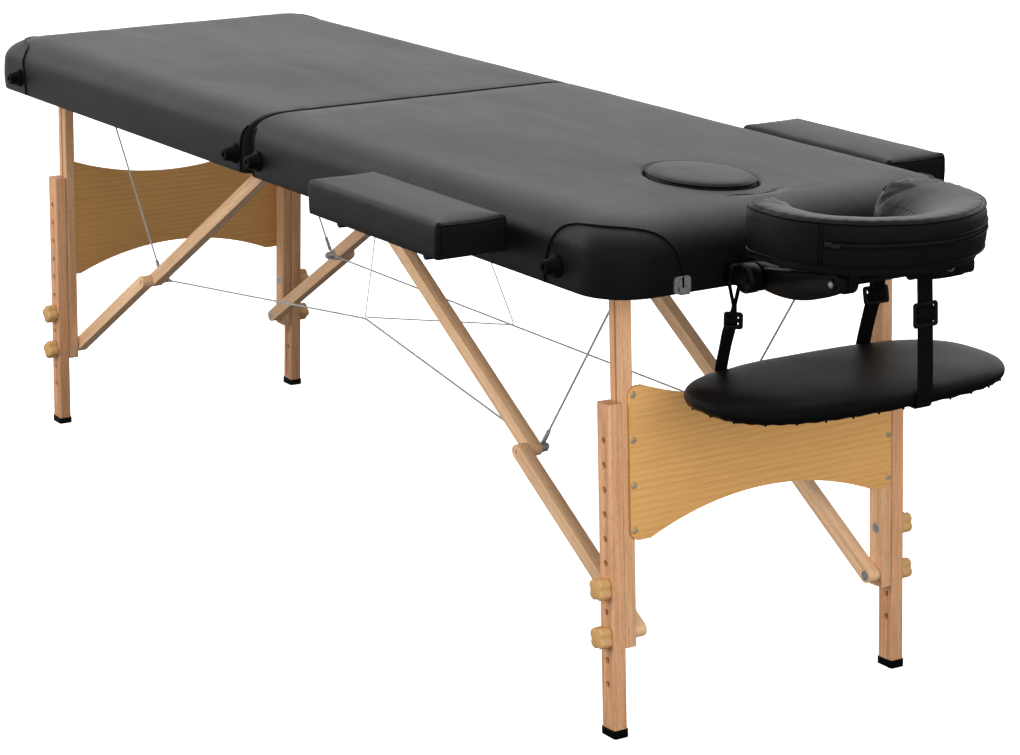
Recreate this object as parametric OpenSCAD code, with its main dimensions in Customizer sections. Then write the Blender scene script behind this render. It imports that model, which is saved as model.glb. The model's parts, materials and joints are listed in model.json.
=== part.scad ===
// Portable massage table: two padded halves on folding beech legs, with a face cradle,
// a hanging arm shelf, two plug-in armrests and a plug for the face hole.
// +X runs to the head end, -Y is the near side, +Z is up and the feet stand on z = 0.

/* [Table top] */
// Length of the whole top, both halves together
top_length = 1860; // [1700:10:2240]
// Width of the top
top_width = 600; // [500:5:720]
// Height of the frame's underside above the floor
frame_height = 600; // [560:5:720]
// Radius of the plan corners at the two ends
end_corner_r = 65; // [40:1:90]
// Radius of the plan corners beside the centre hinge
hinge_corner_r = 42; // [34:1:60]
// Gap between the two halves when the table is open
half_gap = 2; // [1:0.5:6]

/* [Padding] */
// Height of the padding at its edge, above the deck
pad_h = 37; // [30:1:60]
// Extra height of the padding in the middle
pad_crown = 4; // [0:0.5:10]
// Radius of the rolled top edge
pad_roll = 32; // [15:1:36]
// Thickness of the vinyl side wrap
wrap_t = 2.5; // [1:0.25:4]

/* [Frame] */
// Depth of the rails, which is the recess for the folded legs
rail_h = 45; // [43:1:60]
// Thickness of the rails
rail_t = 20; // [14:1:28]
// Thickness of the plywood deck
deck_t = 5; // [4:0.5:10]

/* [Legs] */
// Distance from the table's end to the middle of a foot on the floor
foot_inset = 75; // [60:1:110]
// Distance from the table's end to the leg's pivot
pivot_inset = 104; // [95:1:140]
// Height of the leg pivot and brace pivot above the frame's underside
pivot_rise = 20.5; // [20:0.5:30]
// Distance from the table's side to the middle of a lower leg
leg_inset = 68.5; // [64:0.5:90]
// Width of a lower leg along the table
lower_leg_w = 29; // [24:1:34]
// Thickness of a lower leg across the table
lower_leg_t = 20; // [16:1:26]
// Height of the lower leg's top end
lower_leg_top = 444; // [420:1:470]
// Width of an upper post along the table
post_w = 28; // [24:1:34]
// Thickness of an upper post across the table
post_t = 17; // [14:1:24]
// Height of the post's lower end
post_foot = 119; // [110:1:124]
// Number of height holes in a lower leg
hole_count = 11; // [9:1:12]
// Distance between height holes
hole_pitch = 32.5; // [30:0.5:35]
// Distance from the lower leg's top end to its first hole
hole_first = 48; // [30:1:60]
// Diameter of the leg bolts and pivot bolts
bolt_d = 8; // [6:0.5:10]
// Play of a leg bolt in the height holes
hole_play = 1; // [0.4:0.1:3]
// Gap between neighbouring sliding or turning wooden layers
layer_gap = 0.5; // [0.3:0.1:1.5]
// Height of the rubber foot's sleeve
foot_sleeve_h = 11; // [10:1:25]
// Thickness of the rubber under the leg
foot_sole = 4; // [3:0.5:8]

/* [Knobs] */
// Diameter over the lobes of a leg knob
knob_d = 32; // [26:1:40]
// Depth of a leg knob
knob_h = 17; // [12:1:22]
// Lobes round a leg knob
knob_lobes = 6; // [5:1:8]

/* [Braces] */
// Depth of a brace, seen from the side
brace_d = 20; // [16:1:24]
// Thickness of a brace across the table
brace_t = 18; // [14:1:22]
// Distance from the centre hinge to the upper brace's pivot
brace_pivot_x = 87; // [80:1:140]

/* [End panel] */
// Thickness of the end panel
panel_t = 6; // [4:0.5:10]
// Height of the panel's lower corners up the leg
panel_low = 262; // [240:1:280]
// Height of the panel's upper corners up the leg
panel_high = 465; // [430:1:480]
// Rise of the arched lower edge
panel_arch = 38; // [10:1:50]
// Dip of the hollow upper edge
panel_dip = 35; // [10:1:50]

/* [Face hole and plug] */
// Length of the plug
plug_l = 180; // [150:1:220]
// Width of the plug
plug_w = 125; // [105:1:150]
// Distance from the head end to the middle of the plug
plug_inset = 222; // [190:1:280]
// Gap round the plug
plug_gap = 1.5; // [1:0.25:4]
// Ledge of deck that carries the plug
plug_ledge = 10; // [6:1:20]

/* [Armrests] */
// Length of an armrest
armrest_l = 330; // [300:5:400]
// Width of an armrest
armrest_w = 105; // [90:1:140]
// Thickness of the armrest's padding
armrest_h = 40; // [30:1:55]
// Distance from the head end to the middle of the armrests
armrest_inset = 374; // [300:1:420]
// Radius of an armrest's plan corners
armrest_corner_r = 9; // [4:1:30]
// Radius of an armrest's top edge
armrest_edge_r = 6; // [3:1:12]
// Extra height in the middle of an armrest
armrest_crown = 4; // [0:0.5:8]
// Gap between the table's side and an armrest
armrest_gap = 10; // [4:1:30]
// Distance between an armrest's two rods
rod_spacing = 220; // [160:5:260]
// Diameter of the armrest rods
rod_d = 12; // [10:0.5:16]

/* [Face cradle] */
// Diameter of the cradle's posts
socket_d = 20; // [16:0.5:24]
// Distance between the two cradle posts
socket_spacing = 230; // [200:5:250]
// Width of the face pillow
pillow_w = 300; // [280:1:340]
// Width of the pillow's roll
pillow_roll = 90; // [70:1:100]
// Thickness of the pillow
pillow_h = 58; // [45:1:80]
// Distance from the table's end to the pillow's front
pillow_reach = 260; // [220:1:290]
// Distance from the table's end to the pillow's open ends
pillow_gap = 48; // [10:1:60]

/* [Arm shelf] */
// Width of the arm shelf
shelf_w = 445; // [360:5:460]
// Depth of the arm shelf
shelf_l = 225; // [200:5:260]
// Height of the shelf's underside above the floor
shelf_z = 470; // [430:5:500]
// Thickness of the padded shelf
shelf_h = 28; // [20:1:36]
// Width of the webbing straps
strap_w = 25; // [20:1:32]
// Thickness of the webbing
strap_t = 2; // [1.5:0.25:3]

/* [Hidden] */
$fn = 48;
fit = 0.05;
half = top_length/2;
hw = top_width/2;
deck_z = frame_height + rail_h;
pad_z = deck_z + deck_t;
top_z = pad_z + pad_h;
rail_in = hw - wrap_t - rail_t;
glue_line = 0.1;

// Sideways layers, from the middle of the table outwards
leg_y = hw - leg_inset;
leg_y0 = leg_y - lower_leg_t/2;
leg_y1 = leg_y + lower_leg_t/2;
post_y1 = leg_y0 - layer_gap;
post_y0 = post_y1 - post_t;
low_y1 = post_y0 - layer_gap;
low_y0 = low_y1 - brace_t;
up_y1 = low_y0 - layer_gap;
up_y0 = up_y1 - brace_t;

// Leg line: from the foot on the floor up to the pivot
foot_x = half - foot_inset;
pivot_x = half - pivot_inset;
pivot_z = frame_height + pivot_rise;
splay = atan2(foot_x - pivot_x, pivot_z);
leg_len = norm([foot_x - pivot_x, pivot_z]);
hole_d = bolt_d + hole_play;
first_hole_z = lower_leg_top - hole_first;
upper_bolt_z = first_hole_z - 6*hole_pitch;
lower_bolt_z = first_hole_z - 8*hole_pitch;

// Folding braces: the knuckle lies on the straight line between the two end pivots,
// and the two lengths differ so that the braces also lie straight when folded
brace_drop = 8;
brace_a = [foot_x - lower_bolt_z*sin(splay), lower_bolt_z*cos(splay)];
brace_c = [brace_pivot_x, pivot_z - brace_drop];
folded_a = [pivot_x - (leg_len - lower_bolt_z), pivot_z];
open_len = norm(brace_a - brace_c);
folded_len = norm(folded_a - brace_c);
upper_len = (open_len + folded_len)/2;
lower_len = (open_len - folded_len)/2;
knuckle = brace_c + (brace_a - brace_c)*upper_len/open_len;
brace_slope = atan2(brace_c[1] - brace_a[1], brace_c[0] - brace_a[0]);
corner_soft = 2.5;
head_d = 14;
head_h = 4.5;

// Bumpers, latches and hinges
bumper_z = frame_height + 26;
bumper_xs = [36, half - 114];
bumper_h = 20;
latch_rim = 1;
latch_w = 25;
latch_h = 22;
latch_t = 2;
latch_depth = 9;
lever_len = 34;
hinge_y = hw - 105;
hinge_axis_z = frame_height - 4;
hinge_len = 90;
hinge_leaf = 30;
pin_d = 4;
barrel_d = 8;

// Carrying handles on the far side
handle_x = 250;
handle_span = 160;
handle_out = 32;
handle_w = 28;
handle_t = 3;
handle_tab = 26;

// Cable anchors and elastic hooks under the deck
anchor_x = half - 150;
anchor_y = up_y0 - 5.7;
anchor_z = frame_height - 2;
cable_d = 3;
elastic_d = 2.4;
elastic_hook = [-13.5, 55];

// Cradle: sockets that the latches stand clear of, base bar outside the end rail,
// tilt axis, and the front rod that the platform turns on
socket_y = socket_spacing/2;
socket_rim_d = socket_d + 12;
latch_y = max(hw - 108, socket_y + socket_rim_d/2 + latch_w/2 + 1);
socket_z = frame_height + 18;
socket_wall = 3;
socket_depth = 120;
base_x0 = half + 11.5;
base_t = 9;
base_h = 26;
base_w = socket_spacing + 32;
tilt_x = half + 40;
tilt_r = 18;
lug_y = 78;
lug_t = 14;
arm_y = lug_y + lug_t + layer_gap;
arm_t = 14;
cradle_knob_y = arm_y + arm_t + layer_gap;
cradle_knob_d = 38;
cradle_knob_h = 22;
tilt_d = 10;
front_x = half + 187;
front_z = frame_height + 38;
front_r = 11;
arm_half = 12;
arm_sag = 12;
arm_corner = 8;
lug_margin = 3;
platform_z = frame_height + 52;
platform_t = 10;
pillow_z = platform_z + platform_t;
pillow_c = half + pillow_reach - pillow_w/2;
pillow_mid_r = pillow_w/2 - pillow_roll/2;
front_rod_d = 10;
cam_y = 52;
cam_t = 14;
cam_r = 11;
cam_offset = 1.5;

// Armrests
armrest_x = half - armrest_inset;
armrest_y = hw + armrest_gap + armrest_w/2;
armrest_rod_z = frame_height + 22;
armrest_board_t = 6;
armrest_board_z = armrest_rod_z + rod_d/2;
armrest_z = armrest_board_z + armrest_board_t;
bush_wall = 2;

// Shelf and straps
shelf_x = half - 22 + shelf_l/2;
shelf_round = 3.4;
front_strap_y = 30;
loop_x = half + 2.6;
loop_w = 8;
loop_r = socket_d/2 + 0.5;
loop_drop = 46;

// The frame's origin lies on the floor under the middle of the whole table's box
x_min = -(half + latch_depth);
x_max = half + pillow_reach;
frame_shift = -(x_min + x_max)/2;

BEECH = "burlywood";
PLY = "wheat";
HONEY = "goldenrod";
VINYL = "dimgray";
BLACK = "black";
STEEL = "silver";
RUBBER = "darkslategray";

// Outlines

function arc(cx, cy, r, a0, a1, n) =
    [for (i = [0:n]) let (a = a0 + (a1 - a0)*i/n) [cx + r*cos(a), cy + r*sin(a)]];

function rounded_outline(x0, x1, y0, y1, r0, r1, n) = concat(
    arc(x1 - r1, y0 + r1, r1, -90, 0, n),
    arc(x1 - r1, y1 - r1, r1, 0, 90, n),
    arc(x0 + r0, y1 - r0, r0, 90, 180, n),
    arc(x0 + r0, y0 + r0, r0, 180, 270, n));

// One half of the top in plan, drawn in by an inset
function half_outline(inset, n = 5) = rounded_outline(
    half_gap/2 + inset, half - inset, inset - hw, hw - inset,
    max(hinge_corner_r - inset, 3), max(end_corner_r - inset, 3), n);

function oval(l, w, n = 40) = [for (i = [0:n - 1]) [l/2*cos(360*i/n), w/2*sin(360*i/n)]];

function power(v, e) = sign(v)*pow(abs(v), e);

// A softened rectangle, from an ellipse at 2 towards a rectangle at high values
function soft_oval(l, w, e, n = 40) =
    [for (i = [0:n - 1]) [l/2*power(cos(360*i/n), 2/e), w/2*power(sin(360*i/n), 2/e)]];

function lift(outline, z) = [for (p = outline) [p[0], p[1], z]];

// Shape helpers

// A closed skin through a stack of rings with equal numbers of points
module loft(rings) {
    n = len(rings[0]);
    m = len(rings);
    sides = [for (k = [0:m - 2], i = [0:n - 1])
        let (a = k*n + i, b = k*n + (i + 1)%n) each [[a, a + n, b + n], [a, b + n, b]]];
    bottom = [for (i = [0:n - 1]) i];
    top = [for (i = [n - 1:-1:0]) (m - 1)*n + i];
    polyhedron([for (r = rings) each r], concat(sides, [bottom, top]));
}

// A round tube of few sides along a route
module tube(route, d, sides = 8) {
    last = len(route) - 1;
    loft([for (k = [0:last])
        let (t = route[min(k + 1, last)] - route[max(k - 1, 0)],
             u = t/norm(t),
             s = cross(u, abs(u[2]) > 0.9 ? [0, 1, 0] : [0, 0, 1]),
             e = s/norm(s),
             f = cross(e, u),
             r = (is_list(d) ? d[k] : d)/2)
        [for (i = [0:sides - 1]) route[k] + r*(cos(360*i/sides)*e - sin(360*i/sides)*f)]]);
}

// A flat strap along a route in the XZ plane, centred on y
module strap(route, y, w, t) {
    last = len(route) - 1;
    faces = [for (k = [0:last])
        let (d = route[min(k + 1, last)] - route[max(k - 1, 0)],
             n = [-d[1], d[0]]/norm(d)*t/2)
        [route[k] + n, route[k] - n]];
    plate_xz(y - w/2, y + w/2)
        polygon(concat([for (f = faces) f[0]], [for (k = [last:-1:0]) faces[k][1]]));
}

module rounded_square(w, h, r) {
    square([w - 2*r, h], center = true);
    square([w, h - 2*r], center = true);
    for (x = [-1, 1], y = [-1, 1])
        translate([x*(w/2 - r), y*(h/2 - r)])
            circle(r);
}

// A flat shape drawn in x and z, given its thickness from y0 to y1
module plate_xz(y0, y1)
    translate([0, y1, 0])
        rotate([90, 0, 0])
            linear_extrude(y1 - y0)
                children();

// A round bar along y
module bar_y(x, z, d, y0, y1)
    translate([x, y0, z])
        rotate([-90, 0, 0])
            cylinder(d = d, h = y1 - y0);

// A round bar along x
module bar_x(y, z, d, x0, x1)
    translate([x0, y, z])
        rotate([0, 90, 0])
            cylinder(d = d, h = x1 - x0);

module near_side()
    mirror([0, 1, 0])
        children();

module both_sides() {
    children();
    near_side()
        children();
}

module foot_end()
    mirror([1, 0, 0])
        children();

module place()
    translate([frame_shift, 0, 0])
        children();

// Stands a shape on the splayed leg line, with z running up the leg
module on_leg()
    translate([foot_x, 0, 0])
        rotate([0, -splay, 0])
            children();

// Top: padding, side wrap, deck and rails of one half

function pad_rings(roll, crown) = concat(
    [lift(half_outline(2), pad_z), lift(half_outline(0), pad_z + 3)],
    [for (a = [12, 32, 52, 72, 90])
        lift(half_outline(roll*(1 - cos(a))), top_z - roll + roll*sin(a))],
    [for (k = [0.25, 0.55, 1])
        lift(half_outline(roll + k*(hw*0.6 - roll)), top_z + crown*sin(90*k))]);

module face_hole(l, w, z0, z1)
    translate([half - plug_inset, 0, z0])
        linear_extrude(z1 - z0)
            polygon(oval(l, w));

module cushion()
    color(VINYL)
        loft(pad_rings(pad_roll, pad_crown));

module side_wrap()
    color(BLACK)
        translate([0, 0, frame_height])
            linear_extrude(rail_h + deck_t)
                difference() {
                    half_plan(0);
                    half_plan(wrap_t);
                }

// Plan of one half made of true arcs
module half_plan(inset) {
    x0 = half_gap/2 + inset;
    x1 = half - inset;
    y1 = hw - inset;
    r0 = hinge_corner_r - inset;
    r1 = end_corner_r - inset;
    difference() {
        translate([x0, -y1])
            square([x1 - x0, 2*y1]);
        for (s = [-1, 1]) {
            corner_cut(x0, s*y1, r0, 1, -s);
            corner_cut(x1, s*y1, r1, -1, -s);
        }
    }
}

// The waste outside a rounded corner at (x, y), whose arc lies towards (sx, sy)
module corner_cut(x, y, r, sx, sy)
    difference() {
        translate([x + sx*r/2, y + sy*r/2])
            square(r + 0.02, center = true);
        translate([x + sx*r, y + sy*r])
            circle(r);
        translate([x + sx*r*1.5, y + sy*r*0.5])
            square([r, r*2], center = true);
        translate([x + sx*r*0.5, y + sy*r*1.5])
            square([r*2, r], center = true);
    }

module deck()
    color(PLY)
        translate([0, 0, deck_z])
            linear_extrude(deck_t)
                half_plan(wrap_t);

// A quarter of a ring that joins two rails round a plan corner, with a glue line at each end
module corner_block(cx, cy, r, quadrant)
    translate([cx, cy, frame_height])
        linear_extrude(rail_h)
            intersection() {
                difference() {
                    circle(r);
                    circle(r - rail_t);
                }
                rotate(90*quadrant)
                    square(r);
            }

// Two side rails, two end rails and four corner blocks, glued end to end
module rails() {
    x0 = half_gap/2 + wrap_t;
    x1 = half - wrap_t;
    y1 = hw - wrap_t;
    r0 = hinge_corner_r - wrap_t;
    r1 = end_corner_r - wrap_t;
    both_sides() {
        translate([x0 + r0 + glue_line, y1 - rail_t, frame_height])
            cube([x1 - r1 - x0 - r0 - 2*glue_line, rail_t, rail_h]);
        corner_block(x1 - r1, y1 - r1, r1, 0);
        corner_block(x0 + r0, y1 - r0, r0, 1);
    }
    translate([x1 - rail_t, r1 - y1 + glue_line, frame_height])
        cube([rail_t, 2*(y1 - r1 - glue_line), rail_h]);
    translate([x0, r0 - y1 + glue_line, frame_height])
        cube([rail_t, 2*(y1 - r0 - glue_line), rail_h]);
}

// Blocks glued under the deck that carry the leg pivots and the brace pivots
module pivot_blocks()
    both_sides() {
        difference() {
            translate([pivot_x - post_w/2, leg_y0, frame_height + 4])
                cube([post_w, rail_in - leg_y0 - glue_line, rail_h - 4]);
            bar_y(pivot_x, pivot_z, bolt_d + 2*fit, leg_y0 - 1, rail_in + 1);
        }
        difference() {
            translate([brace_c[0] - brace_d, low_y0, frame_height + 2])
                cube([2*brace_d, brace_t + 12, rail_h - 2]);
            bar_y(brace_c[0], brace_c[1], bolt_d + 2*fit, low_y0 - 1, low_y0 + brace_t + 13);
        }
    }

module frame_wood()
    color(BEECH) {
        rails();
        pivot_blocks();
    }

module bumpers()
    color(RUBBER)
        for (x = bumper_xs)
            translate([x, -hw, bumper_z])
                rotate([90, 0, 0])
                    rotate_extrude()
                        polygon([[0, 0], [15, 0], [15, 3], [12, 6], [9, bumper_h - 1.5], [8, bumper_h],
                                 [3.5, bumper_h], [3.5, 6], [0, 6]]);

// One leaf of a centre hinge: a screwed plate under the rail and its share of the barrel
module hinge_leaf(knuckles) {
    piece = hinge_len/3;
    difference() {
        translate([half_gap, -hinge_len/2, frame_height - 2])
            cube([hinge_leaf, hinge_len, 2]);
        for (k = [-1:1])
            if (len(search(k, knuckles)) == 0)
                translate([-1, k*piece - piece/2 - 0.3, frame_height - 3])
                    cube([barrel_d/2 + 2, piece + 0.6, 4]);
    }
    for (k = knuckles)
        difference() {
            union() {
                bar_y(0, hinge_axis_z, barrel_d, k*piece - piece/2 + 0.3, k*piece + piece/2 - 0.3);
                translate([0, k*piece - piece/2 + 0.3, frame_height - 2])
                    cube([half_gap + 1, piece - 0.6, 1.9]);
            }
            bar_y(0, hinge_axis_z, pin_d + 2*fit, k*piece - piece/2, k*piece + piece/2);
        }
}

// Pressed plate with a raised rim, held by two round-headed rivets
module latch_plate() {
    corner = 5;
    translate([half, 0, frame_height + latch_h/2]) {
        plate_yz(latch_t)
            rounded_square(latch_w, latch_h, corner);
        plate_yz(latch_t + latch_rim)
            difference() {
                rounded_square(latch_w, latch_h, corner);
                rounded_square(latch_w - 4, latch_h - 4, corner - 2);
            }
        for (s = [-1, 1])
            translate([latch_t, s*(latch_w/2 - 5), latch_h/2 - 5])
                rotate([0, 90, 0])
                    rotate_extrude()
                        polygon([[0, -0.5], [2, -0.5], [2, 0.4], [1.4, 1.2], [0, 1.5]]);
    }
}

// A flat shape drawn in y and z, given a thickness along x
module plate_yz(t)
    rotate([90, 0, 90])
        linear_extrude(t)
            children();

// Hook that the far end's latch loop catches
module latch_hook()
    translate([half + latch_t, 0, frame_height])
        plate_xz(-7, 7)
            difference() {
                square([latch_depth - latch_t, 9]);
                translate([0, 3])
                    square([latch_depth - latch_t - 2, 9]);
            }

module cable_anchor()
    translate([anchor_x, anchor_y, 0]) {
        translate([0, 0, anchor_z + 8])
            cylinder(d = 5, h = deck_z - anchor_z - 8);
        translate([0, 0, anchor_z + 4])
            rotate([90, 0, 0])
                rotate_extrude()
                    translate([5, 0])
                        circle(2, $fn = 16);
    }

module head_fittings()
    color(STEEL) {
        both_sides() {
            translate([0, hinge_y, 0])
                hinge_leaf([0]);
            translate([0, latch_y, 0]) {
                latch_plate();
                latch_hook();
            }
            cable_anchor();
        }
    }

module foot_fittings()
    color(STEEL) {
        both_sides() {
            foot_end() {
                translate([0, hinge_y, 0])
                    hinge_leaf([-1, 1]);
                translate([0, latch_y, 0]) {
                    latch_plate();
                    latch_pin();
                }
                cable_anchor();
            }
            bar_y(0, hinge_axis_z, pin_d, hinge_y - hinge_len/2, hinge_y + hinge_len/2);
            translate([elastic_hook[0], elastic_hook[1], frame_height - 10])
                cylinder(d = 4, h = 10);
        }
    }

// Pin of a draw latch, held in two ears of its plate
lever_z = frame_height + 12;
lever_x = half + latch_t + 3.6;
module latch_pin() {
    bar_y(lever_x, lever_z, 3, -12, 12);
    for (s = [-1, 1])
        translate([half + latch_t, s*10.5 - 1.5, lever_z - 3])
            cube([latch_depth - latch_t, 3, 6]);
}

// Draw latch lever: a pressed plate that swings up from its pin
module latch_lever()
    color(STEEL)
        foot_end()
            translate([0, latch_y, 0])
                difference() {
                    union() {
                        bar_y(lever_x, lever_z, 6, -8.5, 8.5);
                        translate([lever_x + 0.7, 0, lever_z - lever_len])
                            plate_yz(1.8)
                                difference() {
                                    translate([0, lever_len/2])
                                        rounded_square(17, lever_len, 3);
                                    translate([0, 9])
                                        rounded_square(9, 8, 2);
                                }
                    }
                    bar_y(lever_x, lever_z, 3 + 2*fit, -9, 9);
                }

// Webbing handle screwed to the far side rail
module handle() {
    chord = handle_span/2 - handle_tab;
    r = (chord*chord + handle_out*handle_out)/(2*handle_out);
    color(BLACK)
        translate([handle_x, hw, bumper_z - handle_w/2])
            linear_extrude(handle_w)
                difference() {
                    union() {
                        intersection() {
                            translate([0, handle_out - r])
                                difference() {
                                    circle(r, $fn = 96);
                                    circle(r - handle_t, $fn = 96);
                                }
                            translate([-handle_span/2, 0])
                                square([handle_span, handle_out + 1]);
                        }
                        for (s = [-1, 1])
                            translate([s*(handle_span - handle_tab)/2 - handle_tab/2, 0])
                                square([handle_tab, handle_t]);
                    }
                    translate([0, handle_out - r])
                        circle(r - handle_t, $fn = 96);
                }
}

// Sockets in the rails for the cradle's posts and the armrests' rods
module rail_sockets()
    color(STEEL)
        both_sides() {
            difference() {
                union() {
                    bar_x(socket_y, socket_z, socket_d + 2*socket_wall, half - socket_depth, half);
                    bar_x(socket_y, socket_z, socket_rim_d, half, half + 1.5);
                }
                bar_x(socket_y, socket_z, socket_d + 0.2, half - socket_depth - 1, half + 2);
            }
            for (s = [-1, 1])
                difference() {
                    union() {
                        bar_y(armrest_x + s*rod_spacing/2, armrest_rod_z, rod_d + 2*bush_wall, rail_in, hw);
                        bar_y(armrest_x + s*rod_spacing/2, armrest_rod_z, rod_d + 10, hw, hw + 1.5);
                    }
                    bar_y(armrest_x + s*rod_spacing/2, armrest_rod_z, rod_d + 0.2, rail_in - 1, hw + 2);
                }
        }

// Holes through rails and wrap for those sockets
module socket_holes()
    both_sides() {
        bar_x(socket_y, socket_z, socket_d + 2*socket_wall + 0.4, half - 40, half + 1);
        for (s = [-1, 1])
            bar_y(armrest_x + s*rod_spacing/2, armrest_rod_z, rod_d + 2*bush_wall + 0.4, rail_in - 1, hw + 1);
    }

module head_cushion()
    color(VINYL)
        difference() {
            cushion();
            face_hole(plug_l + 2*plug_gap, plug_w + 2*plug_gap, pad_z - 1, top_z + pad_crown + 1);
        }

module head_side_wrap()
    color(BLACK)
        difference() {
            side_wrap();
            socket_holes();
        }

module head_deck()
    color(PLY)
        difference() {
            deck();
            face_hole(plug_l - 2*plug_ledge, plug_w - 2*plug_ledge, deck_z - 1, pad_z + 1);
        }

module head_frame()
    color(BEECH)
        difference() {
            frame_wood();
            socket_holes();
        }

// Padded plug that fills the face hole and rests on the deck's ledge
module face_plug() {
    edge = 10;
    peak = top_z + pad_crown + 3;
    color(VINYL)
        translate([half - plug_inset, 0, 0])
            loft(concat(
                [lift(oval(plug_l - 6, plug_w - 6), pad_z + 0.3), lift(oval(plug_l, plug_w), pad_z + 4)],
                [for (a = [0, 30, 60, 90])
                    lift(oval(plug_l - 2*edge*(1 - cos(a)), plug_w - 2*edge*(1 - cos(a))),
                         peak - edge - 2 + edge*sin(a))],
                [lift(oval(plug_l*0.6, plug_w*0.6), peak - 0.6), lift(oval(plug_l*0.2, plug_w*0.2), peak)]));
}

// Legs

module bolt_hole(h, d, y0, y1)
    bar_y(0, h, d, y0, y1);

module posts()
    color(BEECH)
        both_sides()
            on_leg()
                difference() {
                    union() {
                        translate([0, (post_y0 + post_y1)/2, post_foot])
                            linear_extrude(leg_len - post_foot)
                                rounded_square(post_w, post_t, corner_soft);
                        bar_y(0, leg_len, post_w, post_y0, post_y1);
                    }
                    for (h = [upper_bolt_z, lower_bolt_z, leg_len])
                        bolt_hole(h, bolt_d + 0.2, post_y0 - 1, post_y1 + 1);
                    bolt_hole(upper_bolt_z, head_d + 0.4, post_y0 - 1, post_y0 + head_h + 0.5);
                    translate([-2, post_y1 - 3, post_foot - 1])
                        cube([4, 4, leg_len - post_foot - post_w]);
                }

module panel_outline() {
    w = 2*(post_y1 - 7);
    h = panel_high - panel_low;
    top_half = w/2 - 20;
    top_r = (top_half*top_half + panel_dip*panel_dip)/(2*panel_dip);
    low_half = w/2 - 30;
    low_r = (low_half*low_half + panel_arch*panel_arch)/(2*panel_arch);
    difference() {
        translate([0, panel_low + h/2])
            rounded_square(w, h, 14);
        translate([0, panel_high - panel_dip + top_r])
            circle(top_r, $fn = 180);
        translate([0, panel_low + panel_arch - low_r])
            circle(low_r, $fn = 180);
    }
}

module panel()
    color(HONEY)
        on_leg()
            translate([post_w/2, 0, 0])
                plate_yz(panel_t)
                    panel_outline();

screw_y = post_y1 - 12;
screw_step = (panel_high - panel_low - 25)/3;
module panel_screw()
    rotate([0, 90, 0])
        rotate_extrude($fn = 24)
            polygon([[0, 0], [4.2, 0], [3.6, 1.4], [2, 2.3], [0, 2.5]]);

// Leg bolts, pivot bolts and panel screws of one leg frame
module leg_fasteners()
    color(STEEL)
        both_sides()
            on_leg() {
                leg_bolt(upper_bolt_z, post_y0);
                leg_bolt(lower_bolt_z, low_y0);
                bar_y(0, leg_len, 15, post_y0 - 4, post_y0);
                bar_y(0, leg_len, bolt_d, post_y0, rail_in - 6);
                for (k = [0:3])
                    translate([post_w/2 + panel_t, screw_y, panel_low + 14 + k*screw_step])
                        panel_screw();
            }

// A bolt whose flat head is sunk into the wood at y0
module leg_bolt(h, y0) {
    difference() {
        bar_y(0, h, head_d, y0, y0 + head_h);
        for (a = [0, 90])
            translate([0, y0, h])
                rotate([0, a, 0])
                    cube([7, 3, 1.4], center = true);
    }
    bar_y(0, h, bolt_d, y0 + head_h, leg_y1 + knob_h - 3);
}

module lower_leg()
    color(BEECH)
        on_leg()
            difference() {
                translate([0, leg_y, foot_sole])
                    linear_extrude(lower_leg_top - foot_sole)
                        rounded_square(lower_leg_w, lower_leg_t, corner_soft);
                for (k = [0:hole_count - 1])
                    bar_y(0, first_hole_z - k*hole_pitch, hole_d, leg_y0 - 1, leg_y1 + 1);
                translate([-6, leg_y0 - 1, foot_sleeve_h + 5])
                    cube([12, 3.5, lower_leg_top]);
            }

module rubber_foot()
    color(RUBBER)
        intersection() {
            on_leg()
                difference() {
                    translate([0, leg_y, -3])
                        linear_extrude(foot_sleeve_h + 3)
                            rounded_square(lower_leg_w + 3, lower_leg_t + 3, corner_soft + 1.5);
                    translate([0, leg_y, foot_sole])
                        linear_extrude(foot_sleeve_h)
                            rounded_square(lower_leg_w, lower_leg_t, corner_soft);
                }
            translate([foot_x - 50, leg_y - 50, 0])
                cube([100, 100, 60]);
        }

// A lobed hand knob on the outer face of a lower leg
module knob(h)
    color(HONEY)
        on_leg()
            translate([0, leg_y1 + 0.3, h])
                rotate([-90, 0, 0])
                    difference() {
                        intersection() {
                            linear_extrude(knob_h)
                                lobes(knob_d, knob_lobes);
                            rotate_extrude()
                                polygon([[0, 0], [knob_d/2 - 2, 0], [knob_d/2 + 0.1, 3],
                                         [knob_d/2 + 0.1, knob_h - 4], [knob_d/2 - 4, knob_h], [0, knob_h]]);
                        }
                        translate([0, 0, -1])
                            cylinder(d = bolt_d + 2*fit, h = knob_h - 1.5);
                    }

module lobes(d, n) {
    lobe = d*0.15;
    circle(d/2 - lobe*0.75);
    for (k = [0:n - 1])
        rotate(k*360/n)
            translate([d/2 - lobe, 0])
                circle(lobe);
}

// Braces

// A brace with round ends between two pivots, drawn along x from the first pivot
module brace_bar(p, angle, len, y0, y1)
    translate([p[0], 0, p[1]])
        rotate([0, -angle, 0])
            plate_xz(y0, y1) {
                translate([0, -brace_d/2])
                    square([len, brace_d]);
                for (x = [0, len])
                    translate([x, 0])
                        circle(d = brace_d);
            }

module upper_braces()
    color(BEECH)
        both_sides()
            difference() {
                brace_bar(brace_c, brace_slope + 180, upper_len, up_y0, up_y1);
                bar_y(brace_c[0], brace_c[1], bolt_d + 0.2, up_y0 - 1, up_y1 + 1);
                bar_y(knuckle[0], knuckle[1], bolt_d + 0.2, up_y0 - 1, up_y1 + 1);
            }

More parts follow.
